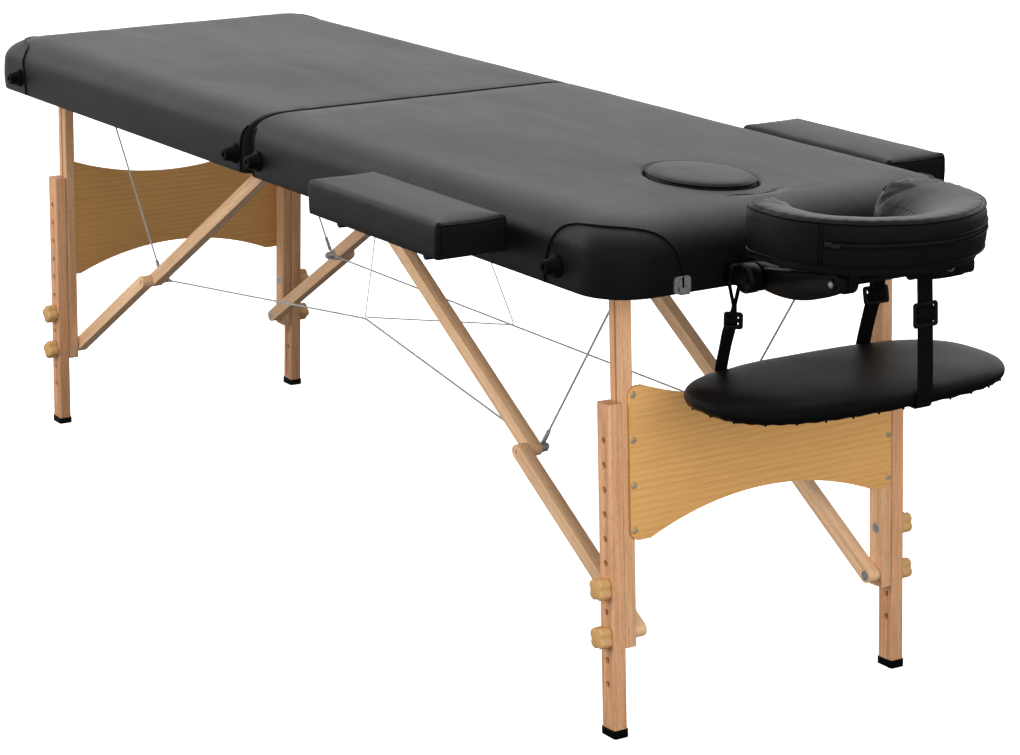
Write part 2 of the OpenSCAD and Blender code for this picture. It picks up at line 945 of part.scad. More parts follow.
module lower_braces()
    both_sides() {
        color(BEECH)
            difference() {
                brace_bar(brace_a, brace_slope, lower_len, low_y0, low_y1);
                bar_y(brace_a[0], brace_a[1], bolt_d + 2*fit, low_y0 - 1, low_y1 + 1);
                bar_y(brace_a[0], brace_a[1], head_d + 0.6, low_y0 - 1, low_y0 + head_h + 0.5);
                bar_y(knuckle[0], knuckle[1], bolt_d + 0.2, low_y0 - 1, low_y1 + 1);
                bar_y(knuckle[0], knuckle[1], head_d + 0.4, low_y1 - head_h - 0.2, low_y1 + 1);
            }
        color(STEEL) {
            bar_y(knuckle[0], knuckle[1], bolt_d, low_y0, low_y1 - head_h);
            difference() {
                bar_y(knuckle[0], knuckle[1], head_d, low_y1 - head_h, low_y1);
                bar_y(knuckle[0], knuckle[1], 6, low_y1 - 3, low_y1 + 1);
            }
        }
    }

// Pivot bolts of the upper brace, and the nut and cable eye on the knuckle
eye_d = 14;
eye_y0 = up_y0 - 7.7;
module knuckle_eyes()
    color(STEEL)
        both_sides() {
            bar_y(brace_c[0], brace_c[1], 15, up_y0 - 4, up_y0);
            bar_y(brace_c[0], brace_c[1], bolt_d, up_y0, low_y0 + brace_t + 6);
            bar_y(knuckle[0], knuckle[1], bolt_d, eye_y0 - 8, up_y1);
            difference() {
                bar_y(knuckle[0], knuckle[1], 18, up_y0 - 1.7, up_y0);
                bar_y(knuckle[0], knuckle[1], bolt_d, up_y0 - 2, up_y0 + 1);
            }
            difference() {
                bar_y(knuckle[0], knuckle[1], eye_d, eye_y0 + 2, eye_y0 + 6);
                bar_y(knuckle[0], knuckle[1], bolt_d, eye_y0 + 1, eye_y0 + 7);
            }
            difference() {
                translate([knuckle[0], eye_y0 - 5, knuckle[1]])
                    rotate([-90, 0, 0])
                        cylinder(d = 14, h = 7, $fn = 6);
                bar_y(knuckle[0], knuckle[1], bolt_d, eye_y0 - 6, eye_y0 + 3);
            }
        }

// Steel cables from the end anchors to the knuckles and between the knuckles,
// and the elastic that lifts the near cable clear of a therapist's feet
eye_mid = eye_y0 + 4;
ferrule_d = 6;
ferrule_l = 24;
lift_point = [8, -108, 357];
far_point = [8, eye_mid, knuckle[1]];
module suspension_cords() {
    knot = [knuckle[0], -eye_mid, knuckle[1]];
    ring = [anchor_x, -anchor_y, anchor_z + 4];
    far_knot = [knuckle[0], eye_mid, knuckle[1]];
    color(STEEL) {
        for (s = [-1, 1]) {
            flip = [s, 1, 1];
            stay(times(ring, flip), times(knot, flip));
            stay(times([anchor_x, anchor_y, ring[2]], flip), times(far_knot, flip));
        }
        run([-knot[0], knot[1], knot[2]], knot, [lift_point]);
        run([-far_knot[0], far_knot[1], far_knot[2]], far_knot, []);
    }
    color("white")
        tube([[elastic_hook[0], -elastic_hook[1] - 3.5, frame_height - 7],
              lift_point + [0, 0, 3.2], lift_point + [0, 4, 2],
              far_point + [0, -4, 3.2], far_point + [0, -3, 4.6],
              [elastic_hook[0], elastic_hook[1] + 3.5, frame_height - 7]], elastic_d);
}

function times(a, b) = [a[0]*b[0], a[1]*b[1], a[2]*b[2]];

// A point on the way from p towards q
function towards(p, q, dist) = p + (q - p)*dist/norm(q - p);

// A cable leaves its eye bare, and its ferrule starts clear of the washer beside the eye
rim = eye_d/2 + 0.4;
crimp = rim + 2.4;
run_crimp_l = 16;
crimp_step = 0.5;
function backwards(list) = [for (k = [len(list) - 1:-1:0]) list[k]];
function eye_end(eye, to, l) =
    [for (dist = [rim, crimp - crimp_step, crimp, crimp + l, crimp + l + crimp_step]) towards(eye, to, dist)];
function eye_widths(d) = [cable_d, cable_d, d, d, cable_d];

module stay(ring, knot)
    tube(concat([towards(ring, knot, 7.6)], backwards(eye_end(knot, ring, ferrule_l))),
         concat([cable_d], backwards(eye_widths(ferrule_d))));

module run(a, b, by) {
    first = len(by) > 0 ? by[0] : b;
    last = len(by) > 0 ? by[0] : a;
    tube(concat(eye_end(a, first, run_crimp_l), by, backwards(eye_end(b, last, run_crimp_l))),
         concat(eye_widths(ferrule_d - 1), [for (p = by) cable_d], backwards(eye_widths(ferrule_d - 1))));
}

// Face cradle

module headrest_base()
    color(BLACK) {
        difference() {
            union() {
                translate([base_x0, 0, socket_z])
                    plate_yz(base_t)
                        rounded_square(base_w, base_h, 6);
                both_sides() {
                    plate_xz(lug_y, lug_y + lug_t)
                        union() {
                            translate([tilt_x, socket_z])
                                circle(base_h/2);
                            translate([base_x0 + base_t - 1, socket_z - base_h/2])
                                square([tilt_x - base_x0 - base_t + 1, base_h]);
                        }
                }
            }
            bar_y(tilt_x, socket_z, tilt_d, -lug_y - lug_t - 1, lug_y + lug_t + 1);
        }
        bar_y(tilt_x, socket_z, tilt_d, 3 - cradle_knob_y - cradle_knob_h, cradle_knob_y + cradle_knob_h - 3);
        both_sides()
            bar_x(socket_y, socket_z, socket_d, half - socket_depth + 8, base_x0);
    }

// Crescent arm from the tilt axis to the front rod: straight above, sagging below
module arm_outline() {
    a = [tilt_x, socket_z];
    b = [front_x, front_z];
    chord = norm(b - a);
    r = (chord*chord/4 + arm_sag*arm_sag)/(2*arm_sag);
    difference() {
        union() {
            translate(a)
                circle(tilt_r);
            translate(a)
                rotate(atan2(b[1] - a[1], b[0] - a[0])) {
                    translate([chord, 0])
                        rounded_square(2*front_r, 2*arm_half, arm_corner);
                    intersection() {
                        translate([chord/2, r - arm_half - arm_sag])
                            circle(r, $fn = 180);
                        translate([0, -2*arm_half])
                            square([chord, 3*arm_half - 1]);
                    }
                }
        }
        translate(a)
            circle(tilt_d/2 + fit);
    }
}

module headrest_arms()
    color(BLACK) {
        both_sides() {
            difference() {
                plate_xz(arm_y, arm_y + arm_t)
                    arm_outline();
                bar_y(front_x, front_z, front_rod_d, arm_y - 1, arm_y + arm_t + 1);
            }
            bar_y(front_x, front_z, front_rod_d + 4, arm_y + arm_t, arm_y + arm_t + 4);
        }
        bar_y(front_x, front_z, front_rod_d, -arm_y - arm_t, arm_y + arm_t);
    }

// Three-spoke clamp knob outside an arm
module cradle_knob()
    color(BLACK)
        translate([tilt_x, cradle_knob_y, socket_z])
            rotate([-90, 0, 0])
                difference() {
                    rotate_extrude()
                        polygon([[0, 0], [14, 0], [cradle_knob_d/2, 5], [cradle_knob_d/2, cradle_knob_h - 3],
                                 [cradle_knob_d/2 - 3, cradle_knob_h], [0, cradle_knob_h]]);
                    translate([0, 0, -1])
                        cylinder(d = tilt_d + 2*fit, h = cradle_knob_h - 1.5);
                    for (k = [0:2])
                        rotate(120*k + 30)
                            translate([0, 0, cradle_knob_h - 4])
                                linear_extrude(5)
                                    intersection() {
                                        difference() {
                                            circle(15);
                                            circle(7.5);
                                        }
                                        rotate(12)
                                            polygon([[0, 0], [30, 0], [30, 60], [-3, 60]]);
                                    }
                }

// Lever whose cam locks the platform on the front rod
module cam_lever()
    color(BLACK)
        plate_xz(cam_y, cam_y + cam_t)
            difference() {
                union() {
                    translate([front_x - cam_offset, front_z])
                        circle(cam_r);
                    translate([front_x, front_z])
                        rotate(200)
                            translate([26, 0])
                                rounded_square(64, 16, 7.5);
                }
                translate([front_x, front_z])
                    circle(front_rod_d/2 + fit);
            }

// Half a ring round the face opening, with two straight prongs back to the table
module horseshoe(outer, inner, rear) {
    translate([pillow_c, 0])
        intersection() {
            difference() {
                circle(outer, $fn = 96);
                circle(inner, $fn = 96);
            }
            translate([0, -outer - 1])
                square([outer + 1, 2*outer + 2]);
        }
    for (s = [-1, 1])
        translate([rear, s*(outer + inner)/2 - (outer - inner)/2])
            square([pillow_c - rear + 0.1, outer - inner]);
}

module cradle_platform()
    color(BLACK) {
        inset = 10;
        difference() {
            union() {
                translate([0, 0, platform_z])
                    linear_extrude(platform_t)
                        horseshoe(pillow_w/2 - inset, pillow_w/2 - pillow_roll + inset,
                                  half + pillow_gap + 12);
                both_sides()
                    plate_xz(lug_y, lug_y + lug_t)
                        union() {
                            translate([front_x, front_z])
                                circle(front_r + lug_margin);
                            translate([front_x - front_r - lug_margin, front_z])
                                square([2*(front_r + lug_margin), platform_z - front_z + 1]);
                        }
            }
            bar_y(front_x, front_z, front_rod_d + 2*fit, -lug_y - lug_t - 1, lug_y + lug_t + 1);
        }
    }

// Padded horseshoe swept round the face opening: a firm outer wall, a softer inner roll
// that slopes down to the face, and tapered ends
pillow_sides = 16;
function roll_ring(p, angle, scale) =
    [for (i = [0:pillow_sides - 1])
        let (t = 360*i/pillow_sides,
             e = cos(t) > 0 ? 0.5 : 0.85,
             u = pillow_roll/2*power(cos(t), e)*scale,
             v = pillow_h/2*power(sin(t), e)*(0.55 + 0.45*scale))
        [p[0] + u*cos(angle), p[1] + u*sin(angle), pillow_z + pillow_h/2 + v]];
taper = [[0, 0.42], [6, 0.72], [16, 0.9], [32, 1]];
pillow_rear = half + pillow_gap;
module face_pillow()
    color(VINYL)
        loft(concat(
            [for (k = [0:3])
                roll_ring([pillow_rear + taper[k][0], -pillow_mid_r], -90, taper[k][1])],
            [for (k = [0:16])
                let (a = -90 + 180*k/16)
                roll_ring([pillow_c + pillow_mid_r*cos(a), pillow_mid_r*sin(a)], a, 1)],
            [for (k = [3:-1:0])
                roll_ring([pillow_rear + taper[k][0], pillow_mid_r], 90, taper[k][1])]));

// Hanging arm shelf

module sling_shelf() {
    levels = [[10, 0], [3, 1.5], [0, 7], [0, 16], [4, 23], [14, 27], [44, shelf_h]];
    color(VINYL)
        translate([shelf_x, 0, shelf_z])
            loft([for (k = levels)
                lift(soft_oval(shelf_l - 2*k[0], shelf_w - 2*k[0], shelf_round), k[1]*shelf_h/28)]);
}

// How far the shelf's edge lies from its middle, along x, beside a strap at y
function shelf_edge(y) =
    let (inner = max(abs(y) - strap_w/2, 0))
    shelf_l/2*pow(1 - pow(2*inner/shelf_w, shelf_round), 1/shelf_round);

// Route down a shelf edge and under the shelf, where s points to the shelf's middle
function under_shelf(edge, s) = [
    [edge, shelf_z + shelf_h/2 + 4], [edge, shelf_z + 5], [edge + 3*s, shelf_z - 1.3],
    [edge + 14*s, shelf_z - 1.7], [edge + 60*s, shelf_z - 1.7]];

// Loop round a post that draws together below it, seen from the end
loop_steps = 14;
module strap_loop(r, drop) {
    lean = asin(r/drop);
    polygon(concat(
        [for (k = [0:loop_steps])
            let (t = -lean + (180 + 2*lean)*k/loop_steps)
            [r*cos(t), r*sin(t)]],
        [[0, -drop]]));
}

// Two rear straps looped round the cradle's posts, and a front strap on the front rod
module sling_straps()
    color(BLACK) {
        for (s = [-1, 1]) {
            translate([loop_x, s*socket_y, socket_z])
                plate_yz(loop_w)
                    difference() {
                        strap_loop(loop_r + strap_t, loop_drop + 2*strap_t);
                        strap_loop(loop_r, loop_drop - 2*strap_t);
                    }
            strap(concat([[loop_x + loop_w/2, socket_z - loop_drop]],
                         under_shelf(shelf_x - shelf_edge(socket_y) - 2, 1)),
                  s*socket_y, strap_w, strap_t);
        }
        strap(concat([[front_x + 6.4, front_z - 4], [front_x + 7.5, front_z - 12]],
                     under_shelf(shelf_x + shelf_edge(front_strap_y) + 2, -1)),
              front_strap_y, strap_w, strap_t);
    }

// Armrests

// Boxed pad: sides drawn in a little, a crisp top edge and a low crown
module armrest() {
    shoulder = armrest_h - armrest_edge_r;
    levels = concat(
        [[2, 0], [0, 4], [1.2, shoulder/2], [0, shoulder]],
        [for (a = [30, 60, 90]) [armrest_edge_r*(1 - cos(a)), shoulder + armrest_edge_r*sin(a)]],
        [[24, armrest_h + 0.7*armrest_crown], [48, armrest_h + armrest_crown]]);
    color(VINYL)
        translate([armrest_x, armrest_y, armrest_z])
            loft([for (k = levels)
                let (r = max(armrest_corner_r - k[0], 2))
                lift(rounded_outline(k[0] - armrest_l/2, armrest_l/2 - k[0],
                                     k[0] - armrest_w/2, armrest_w/2 - k[0], r, r, 5), k[1])]);
}

module armrest_rods() {
    rod_tip = rail_in + 2;
    color(STEEL)
        for (s = [-1, 1])
            bar_y(armrest_x + s*rod_spacing/2, armrest_rod_z, rod_d, rod_tip, armrest_y + armrest_w/2 - 16);
    color(PLY)
        translate([armrest_x, armrest_y, armrest_board_z])
            linear_extrude(armrest_board_t)
                rounded_square(armrest_l - 16, armrest_w - 16, 14);
}

place() foot_end() cushion();  // foot_cushion
place() foot_end() side_wrap();  // foot_side_wrap
place() foot_end() deck();  // foot_deck
place() foot_end() frame_wood();  // foot_frame
place() foot_end() bumpers();  // foot_bumpers
place() foot_fittings();
place() foot_end() handle();  // foot_handle
place() suspension_cords();
place() head_cushion();
place() head_side_wrap();
place() head_deck();
place() head_frame();
place() bumpers();  // head_bumpers
place() head_fittings();
place() handle();  // head_handle
place() rail_sockets();
place() posts();  // head_posts
place() panel();  // head_panel
place() leg_fasteners();  // head_leg_fasteners
place() foot_end() posts();  // foot_posts
place() foot_end() panel();  // foot_panel
place() foot_end() leg_fasteners();  // foot_leg_fasteners
place() upper_braces();  // head_upper_braces
place() lower_braces();  // head_lower_braces
place() knuckle_eyes();  // head_knuckle_eyes
place() foot_end() upper_braces();  // foot_upper_braces
place() foot_end() lower_braces();  // foot_lower_braces
place() foot_end() knuckle_eyes();  // foot_knuckle_eyes
place() near_side() lower_leg();  // head_near_leg
place() lower_leg();  // head_far_leg
place() foot_end() near_side() lower_leg();  // foot_near_leg
place() foot_end() lower_leg();  // foot_far_leg
place() near_side() rubber_foot();  // head_near_foot
place() rubber_foot();  // head_far_foot
place() foot_end() near_side() rubber_foot();  // foot_near_foot
place() foot_end() rubber_foot();  // foot_far_foot
place() near_side() knob(upper_bolt_z);  // head_near_upper_knob
place() near_side() knob(lower_bolt_z);  // head_near_lower_knob
place() knob(upper_bolt_z);  // head_far_upper_knob
place() knob(lower_bolt_z);  // head_far_lower_knob
place() foot_end() near_side() knob(upper_bolt_z);  // foot_near_upper_knob
place() foot_end() near_side() knob(lower_bolt_z);  // foot_near_lower_knob
place() foot_end() knob(upper_bolt_z);  // foot_far_upper_knob
place() foot_end() knob(lower_bolt_z);  // foot_far_lower_knob
place() near_side() latch_lever();  // near_latch_lever
place() latch_lever();  // far_latch_lever
place() headrest_base();
place() headrest_arms();
place() near_side() cradle_knob();  // headrest_near_knob
place() cradle_knob();  // headrest_far_knob
place() cam_lever();
place() cradle_platform();
place() face_pillow();
place() sling_straps();
place() sling_shelf();
place() near_side() armrest();  // near_armrest
place() armrest();  // far_armrest
place() near_side() armrest_rods();  // near_armrest_rods
place() armrest_rods();  // far_armrest_rods
place() face_plug();
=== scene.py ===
# %% [markdown]
# # A portable massage table
#
# The table folds in the middle, stands on four wooden legs that cables hold apart,
# and carries a face cradle, a hanging arm shelf and two armrests.
# The frame gives its bodies, joints and hard pieces. This lesson adds what a camera sees:
# sewn covers, wood grain, webbing, cables, stitches and screws.

# %% Load the frame
import bmesh
import bpy
import json
import math
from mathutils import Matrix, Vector, noise

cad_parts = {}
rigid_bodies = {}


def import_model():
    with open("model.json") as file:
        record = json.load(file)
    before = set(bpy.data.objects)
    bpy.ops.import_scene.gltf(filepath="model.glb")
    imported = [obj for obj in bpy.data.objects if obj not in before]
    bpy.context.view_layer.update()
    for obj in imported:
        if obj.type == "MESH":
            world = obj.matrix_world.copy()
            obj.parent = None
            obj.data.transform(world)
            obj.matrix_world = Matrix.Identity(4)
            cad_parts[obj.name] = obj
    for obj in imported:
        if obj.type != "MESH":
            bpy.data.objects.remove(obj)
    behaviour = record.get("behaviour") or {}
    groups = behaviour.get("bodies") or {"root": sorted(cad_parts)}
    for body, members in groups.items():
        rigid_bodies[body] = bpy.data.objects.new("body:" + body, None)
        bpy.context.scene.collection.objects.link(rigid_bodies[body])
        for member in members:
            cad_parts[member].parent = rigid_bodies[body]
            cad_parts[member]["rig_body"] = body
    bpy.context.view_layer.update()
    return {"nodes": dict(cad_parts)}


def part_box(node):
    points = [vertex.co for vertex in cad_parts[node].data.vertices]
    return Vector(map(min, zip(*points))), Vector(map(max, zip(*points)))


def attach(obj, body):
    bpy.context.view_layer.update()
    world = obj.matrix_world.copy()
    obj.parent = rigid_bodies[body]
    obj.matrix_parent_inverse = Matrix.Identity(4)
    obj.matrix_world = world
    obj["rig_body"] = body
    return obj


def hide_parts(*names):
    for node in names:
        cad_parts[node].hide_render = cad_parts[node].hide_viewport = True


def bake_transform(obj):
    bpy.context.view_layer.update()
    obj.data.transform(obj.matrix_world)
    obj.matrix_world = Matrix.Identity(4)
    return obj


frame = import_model()
scene = bpy.context.scene

# %% [markdown]
# ## Sizes
#
# Places are measured from the middle of the table top, in metres, and come from the frame's boxes.
# Sizes of sewn details that the frame doesn't hold are named here.

# %% Sizes from the frame
mm = 0.001
head_low, head_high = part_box("head_side_wrap")
MID = (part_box("foot_side_wrap")[0].x + head_high.x)/2
HALF = head_high.x - MID
WIDE = head_high.y
SKIRT_Z = head_low.z
DECK_Z = head_high.z
CROWN = 4*mm
TOP_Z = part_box("head_cushion")[1].z - CROWN
GAP = head_low.x - MID
END_R = 65*mm
HINGE_R = 42*mm
ROLL = 72*mm
ROLL_UP = 47*mm
ROLL_SQUARE = 2.5
HINGE_ROLL = 0.08
CORNER_SOFT = 40*mm
END_STRETCH = 1.4
plug_low, plug_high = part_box("face_plug")
PLUG_X = (plug_low.x + plug_high.x)/2 - MID
PLUG_A = (plug_high.x - plug_low.x)/2
PLUG_B = plug_high.y
UP = Vector((0, 0, 1))
DOWN = Vector((0, 0, -1))
FAR = Vector((0, 1, 0))
SIDES = (("near", -1), ("far", 1))
ENDS = (("head", 1), ("foot", -1))
print("table top", round(2*HALF, 3), "by", round(2*WIDE, 3), "at", round(TOP_Z, 3))

# %% [markdown]
# ## Camera
#
# The table is seen from its head end, a little above the top, through a long lens.

# %% Camera
VIEW_FROM = Vector((MID + 3.7318, -2.2550, 1.4622))
VIEW_ALONG = Vector((-0.8087, 0.5232, -0.2689))


def new_object(name, data):
    made = bpy.data.objects.new(name, data)
    scene.collection.objects.link(made)
    return made


def point_along(obj, place, along):
    obj.location = place
    obj.rotation_euler = along.to_track_quat("-Z", "Y").to_euler()


camera = new_object("camera", bpy.data.cameras.new("camera"))
camera.data.lens = 102.81
camera.data.sensor_width = 36
point_along(camera, VIEW_FROM, VIEW_ALONG)
scene.camera = camera
scene.view_settings.view_transform = "Standard"
print("camera", round(VIEW_FROM.length, 2), "m from the frame's origin")

# %% [markdown]
# ## Node helpers
#
# Every shader and geometry tree in this lesson is put together with one function: it adds a node, sets it up
# and links or fills its inputs. The rest are short names for the nodes used most.

# %% Nodes
def put(tree, kind, inputs=(), **settings):
    """A node with its settings, each input linked from a socket or set to a value."""
    node = tree.nodes.new(kind)
    for label, value in settings.items():
        setattr(node, label, value)
    for label, value in dict(inputs).items():
        if isinstance(value, bpy.types.NodeSocket):
            tree.links.new(value, node.inputs[label])
        else:
            node.inputs[label].default_value = value
    return node


def calc(tree, operation, a, b=0.0, c=0.0):
    return put(tree, "ShaderNodeMath", {0: a, 1: b, 2: c}, operation=operation).outputs[0]


def ramp(tree, value, low, high, to_low=0.0, to_high=1.0):
    """A value taken smoothly from one range to another."""
    spans = {"Value": value, "From Min": low, "From Max": high, "To Min": to_low, "To Max": to_high}
    return put(tree, "ShaderNodeMapRange", spans, interpolation_type="SMOOTHSTEP").outputs["Result"]


def noise_at(tree, vector, stretch, detail=3.0, rough=0.55, warp=0.0):
    """Noise whose scale differs along the three axes."""
    place = put(tree, "ShaderNodeVectorMath", {0: vector, 1: stretch}, operation="MULTIPLY").outputs["Vector"]
    values = {"Vector": place, "Scale": 1.0, "Detail": detail, "Roughness": rough, "Distortion": warp}
    return put(tree, "ShaderNodeTexNoise", values).outputs["Fac"]


# %% [markdown]
# ## Light
#
# A white studio. A big softbox hangs overhead, a weak one stands at the foot end and one at the near side.
# A fill lamp brightens the wood at the head end. Only the lamp at the foot is mirrored.
# The world is white where it is seen. Its mirror image is dimmer on the head side,
# where the studio is dark, so faces turned that way stay deep.

# %% Lamps and world
WHITE = (1, 1, 1, 1)
AIM = Vector((0, 0, 0.55))


def softbox(name, place, size, power, mirrored=False):
    lamp = bpy.data.lights.new(name, "AREA")
    lamp.shape = "SQUARE"
    lamp.size = size
    lamp.energy = power
    made = new_object(name, lamp)
    point_along(made, place, AIM - Vector(place))
    made.visible_glossy = mirrored
    return made


lamps = [
    softbox("overhead", (-0.5, -0.3, 3.4), 3.2, 95),
    softbox("foot_side", (-3.4, -1.6, 2.0), 2.0, 14, mirrored=True),
    softbox("near_side", (-0.6, -3.6, 1.6), 2.0, 96),
    softbox("head_fill", (3.6, -0.9, 1.2), 2.2, 92),
]

world = bpy.data.worlds.new("studio")
world.use_nodes = True
scene.world = world
sky = world.node_tree
sky.nodes.clear()
rays = put(sky, "ShaderNodeLightPath").outputs
looking = put(sky, "ShaderNodeTexCoord").outputs["Generated"]
facing = put(sky, "ShaderNodeVectorMath", {0: looking, 1: (-0.81, 0.55, 0.20)}, operation="DOT_PRODUCT")
mirrored_sky = ramp(sky, facing.outputs["Value"], 0.3, 1.0, 0.22, 1.08)
strength = calc(sky, "MAXIMUM", rays["Is Camera Ray"], mirrored_sky)
shown = calc(sky, "MAXIMUM", rays["Is Camera Ray"], rays["Is Glossy Ray"])
shown = calc(sky, "MAXIMUM", shown, rays["Is Transmission Ray"])
ambient = put(sky, "ShaderNodeBackground", {"Color": WHITE, "Strength": 0.42})
seen = put(sky, "ShaderNodeBackground", {"Color": WHITE, "Strength": strength})
sky_mix = put(sky, "ShaderNodeMixShader", {0: shown, 1: ambient.outputs[0], 2: seen.outputs[0]})
put(sky, "ShaderNodeOutputWorld", {"Surface": sky_mix.outputs[0]})
print(len(lamps), "softboxes")

# %% [markdown]
# ## Shared surface effects
#
# Each effect is a small node group that gives masks and heights. The materials further on turn those
# into colour, roughness and relief.

# %% Leather grain, wood and veneer
def effect(name, outputs, **inputs):
    """A node group that takes a place and some numbers. Gives the tree, its inputs and its output node."""
    tree = bpy.data.node_groups.new(name, "ShaderNodeTree")
    tree.interface.new_socket("Vector", in_out="INPUT", socket_type="NodeSocketVector")
    for label, value in inputs.items():
        tree.interface.new_socket(label, in_out="INPUT", socket_type="NodeSocketFloat").default_value = value
    for label in outputs:
        tree.interface.new_socket(label, in_out="OUTPUT", socket_type="NodeSocketFloat")
    return tree, tree.nodes.new("NodeGroupInput").outputs, tree.nodes.new("NodeGroupOutput").inputs


leather, source, sink = effect("leather_grain", ["Height", "Tone"], Scale=620.0)
cells = put(leather, "ShaderNodeTexVoronoi", {"Vector": source["Vector"], "Scale": source["Scale"]},
            feature="DISTANCE_TO_EDGE")
pebble = ramp(leather, cells.outputs["Distance"], 0.0, 0.28)
slack = noise_at(leather, source["Vector"], (3, 11, 11), 4.0, 0.6, 0.6)
leather.links.new(calc(leather, "MULTIPLY_ADD", slack, 0.8, pebble), sink["Height"])
leather.links.new(slack, sink["Tone"])

timber, source, sink = effect("timber", ["Grain", "Fleck", "Drift"])
dashes = noise_at(timber, source["Vector"], (75, 1100, 1100), 2.0, 0.5)
timber.links.new(noise_at(timber, source["Vector"], (5, 190, 190), 4.0, 0.62, 0.35), sink["Grain"])
timber.links.new(ramp(timber, dashes, 0.56, 0.68), sink["Fleck"])
timber.links.new(noise_at(timber, source["Vector"], (1.5, 14, 14), 2.0), sink["Drift"])

veneer, source, sink = effect("veneer", ["Line", "Pore"])
flat = put(veneer, "ShaderNodeVectorMath", {0: source["Vector"], 1: (0.1, 1, 1.2)}, operation="MULTIPLY")
growth = {"Vector": flat.outputs["Vector"], "Scale": 30.0, "Distortion": 6.0,
          "Detail": 2.0, "Detail Scale": 0.5}
bands = put(veneer, "ShaderNodeTexWave", growth, wave_type="BANDS", bands_direction="Z")
pores = noise_at(veneer, source["Vector"], (12, 560, 560), 4.0, 0.65)
veneer.links.new(bands.outputs["Fac"], sink["Line"])
veneer.links.new(ramp(veneer, pores, 0.48, 0.66), sink["Pore"])

# %% Brushed metal, weave, rope lay and moulded grain
brushed, source, sink = effect("brushed", ["Scratch"])
brushed.links.new(noise_at(brushed, source["Vector"], (60, 900, 2400)), sink["Scratch"])

weave, source, sink = effect("weave", ["Height"], Pitch=0.0016)
parts = put(weave, "ShaderNodeSeparateXYZ", {"Vector": source["Vector"]}).outputs
turn = calc(weave, "DIVIDE", math.pi, source["Pitch"])
across_wave = calc(weave, "SINE", calc(weave, "MULTIPLY", parts["X"], turn))
along_wave = calc(weave, "SINE", calc(weave, "MULTIPLY", parts["Y"], turn))
crossing = calc(weave, "MULTIPLY", across_wave, along_wave)
weave.links.new(calc(weave, "MULTIPLY_ADD", crossing, 0.5, 0.5), sink["Height"])

rope, source, sink = effect("rope_lay", ["Height"], Strands=7.0, Pitch=0.018)
parts = put(rope, "ShaderNodeSeparateXYZ", {"Vector": source["Vector"]}).outputs
climb = calc(rope, "ADD", parts["X"], calc(rope, "DIVIDE", parts["Y"], source["Pitch"]))
turns = calc(rope, "MULTIPLY", calc(rope, "MULTIPLY", climb, source["Strands"]), math.pi)
rope.links.new(calc(rope, "ABSOLUTE", calc(rope, "SINE", turns)), sink["Height"])

moulded, source, sink = effect("moulded", ["Height"])
moulded.links.new(noise_at(moulded, source["Vector"], (1600, 1600, 1600), 2.0), sink["Height"])
print(len(bpy.data.node_groups), "effects")

# %% [markdown]
# ## Materials
#
# The vinyl is nearly black and only looks grey where it mirrors the white room at a low angle.
# Legs and braces are beech, the end panels a honey veneer, the knobs tan plastic.

# %% Material helper
def tone(red, green, blue):
    """A colour as it looks on a screen, turned into the numbers a shader works with."""
    return tuple((c/255)**2.2 for c in (red, green, blue)) + (1.0,)


class Surface:
    """A material with its Principled shader and the few links every surface needs."""

    def __init__(self, name, colour, rough, metal=0.0, gloss=0.5):
        self.material = bpy.data.materials.new(name)
        self.material.use_nodes = True
        self.material.diffuse_color = colour
        self.tree = self.material.node_tree
        self.shader = self.tree.nodes["Principled BSDF"].inputs
        self.shader["Base Color"].default_value = colour
        self.shader["Roughness"].default_value = rough
        self.shader["Metallic"].default_value = metal
        self.shader["Specular IOR Level"].default_value = gloss

    def place(self, uv=None, turn=None):
        """The point on the piece: its own place, turned about the axes, or a named UV."""
        if uv:
            return put(self.tree, "ShaderNodeUVMap", uv_map=uv).outputs["UV"]
        point = put(self.tree, "ShaderNodeTexCoord").outputs["Object"]
        if turn is None:
            return point
        return put(self.tree, "ShaderNodeMapping", {"Vector": point, "Rotation": turn}).outputs["Vector"]

    def use(self, group, vector):
        return put(self.tree, "ShaderNodeGroup", {"Vector": vector}, node_tree=group).outputs

    def blend(self, low, high, mask):
        """Colour that goes from low to high with a mask. low is a colour or an earlier blend."""
        return put(self.tree, "ShaderNodeMix", {0: mask, 6: low, 7: high}, data_type="RGBA").outputs[2]

    def ramp(self, *values):
        return ramp(self.tree, *values)

    def link(self, socket, label):
        self.tree.links.new(socket, self.shader[label])

    def relief(self, height, depth, strength=1.0):
        bump = put(self.tree, "ShaderNodeBump", {"Height": height, "Distance": depth, "Strength": strength})
        self.link(bump.outputs["Normal"], "Normal")


# %% Vinyl, rubber and plastics
def vinyl_surface(name, grey, rough_low, rough_high, gloss):
    made = Surface(name, tone(grey, grey, grey + 1), rough_high, gloss=gloss)
    grain = made.use(leather, made.place())
    made.link(made.ramp(grain["Tone"], 0.2, 0.8, rough_low, rough_high), "Roughness")
    made.relief(grain["Height"], 0.25*mm, 0.5)
    return made.material


def plain_plastic(name, colour, rough, gloss=0.5):
    made = Surface(name, colour, rough, gloss=gloss)
    made.relief(made.use(moulded, made.place())["Height"], 0.06*mm, 0.5)
    return made.material


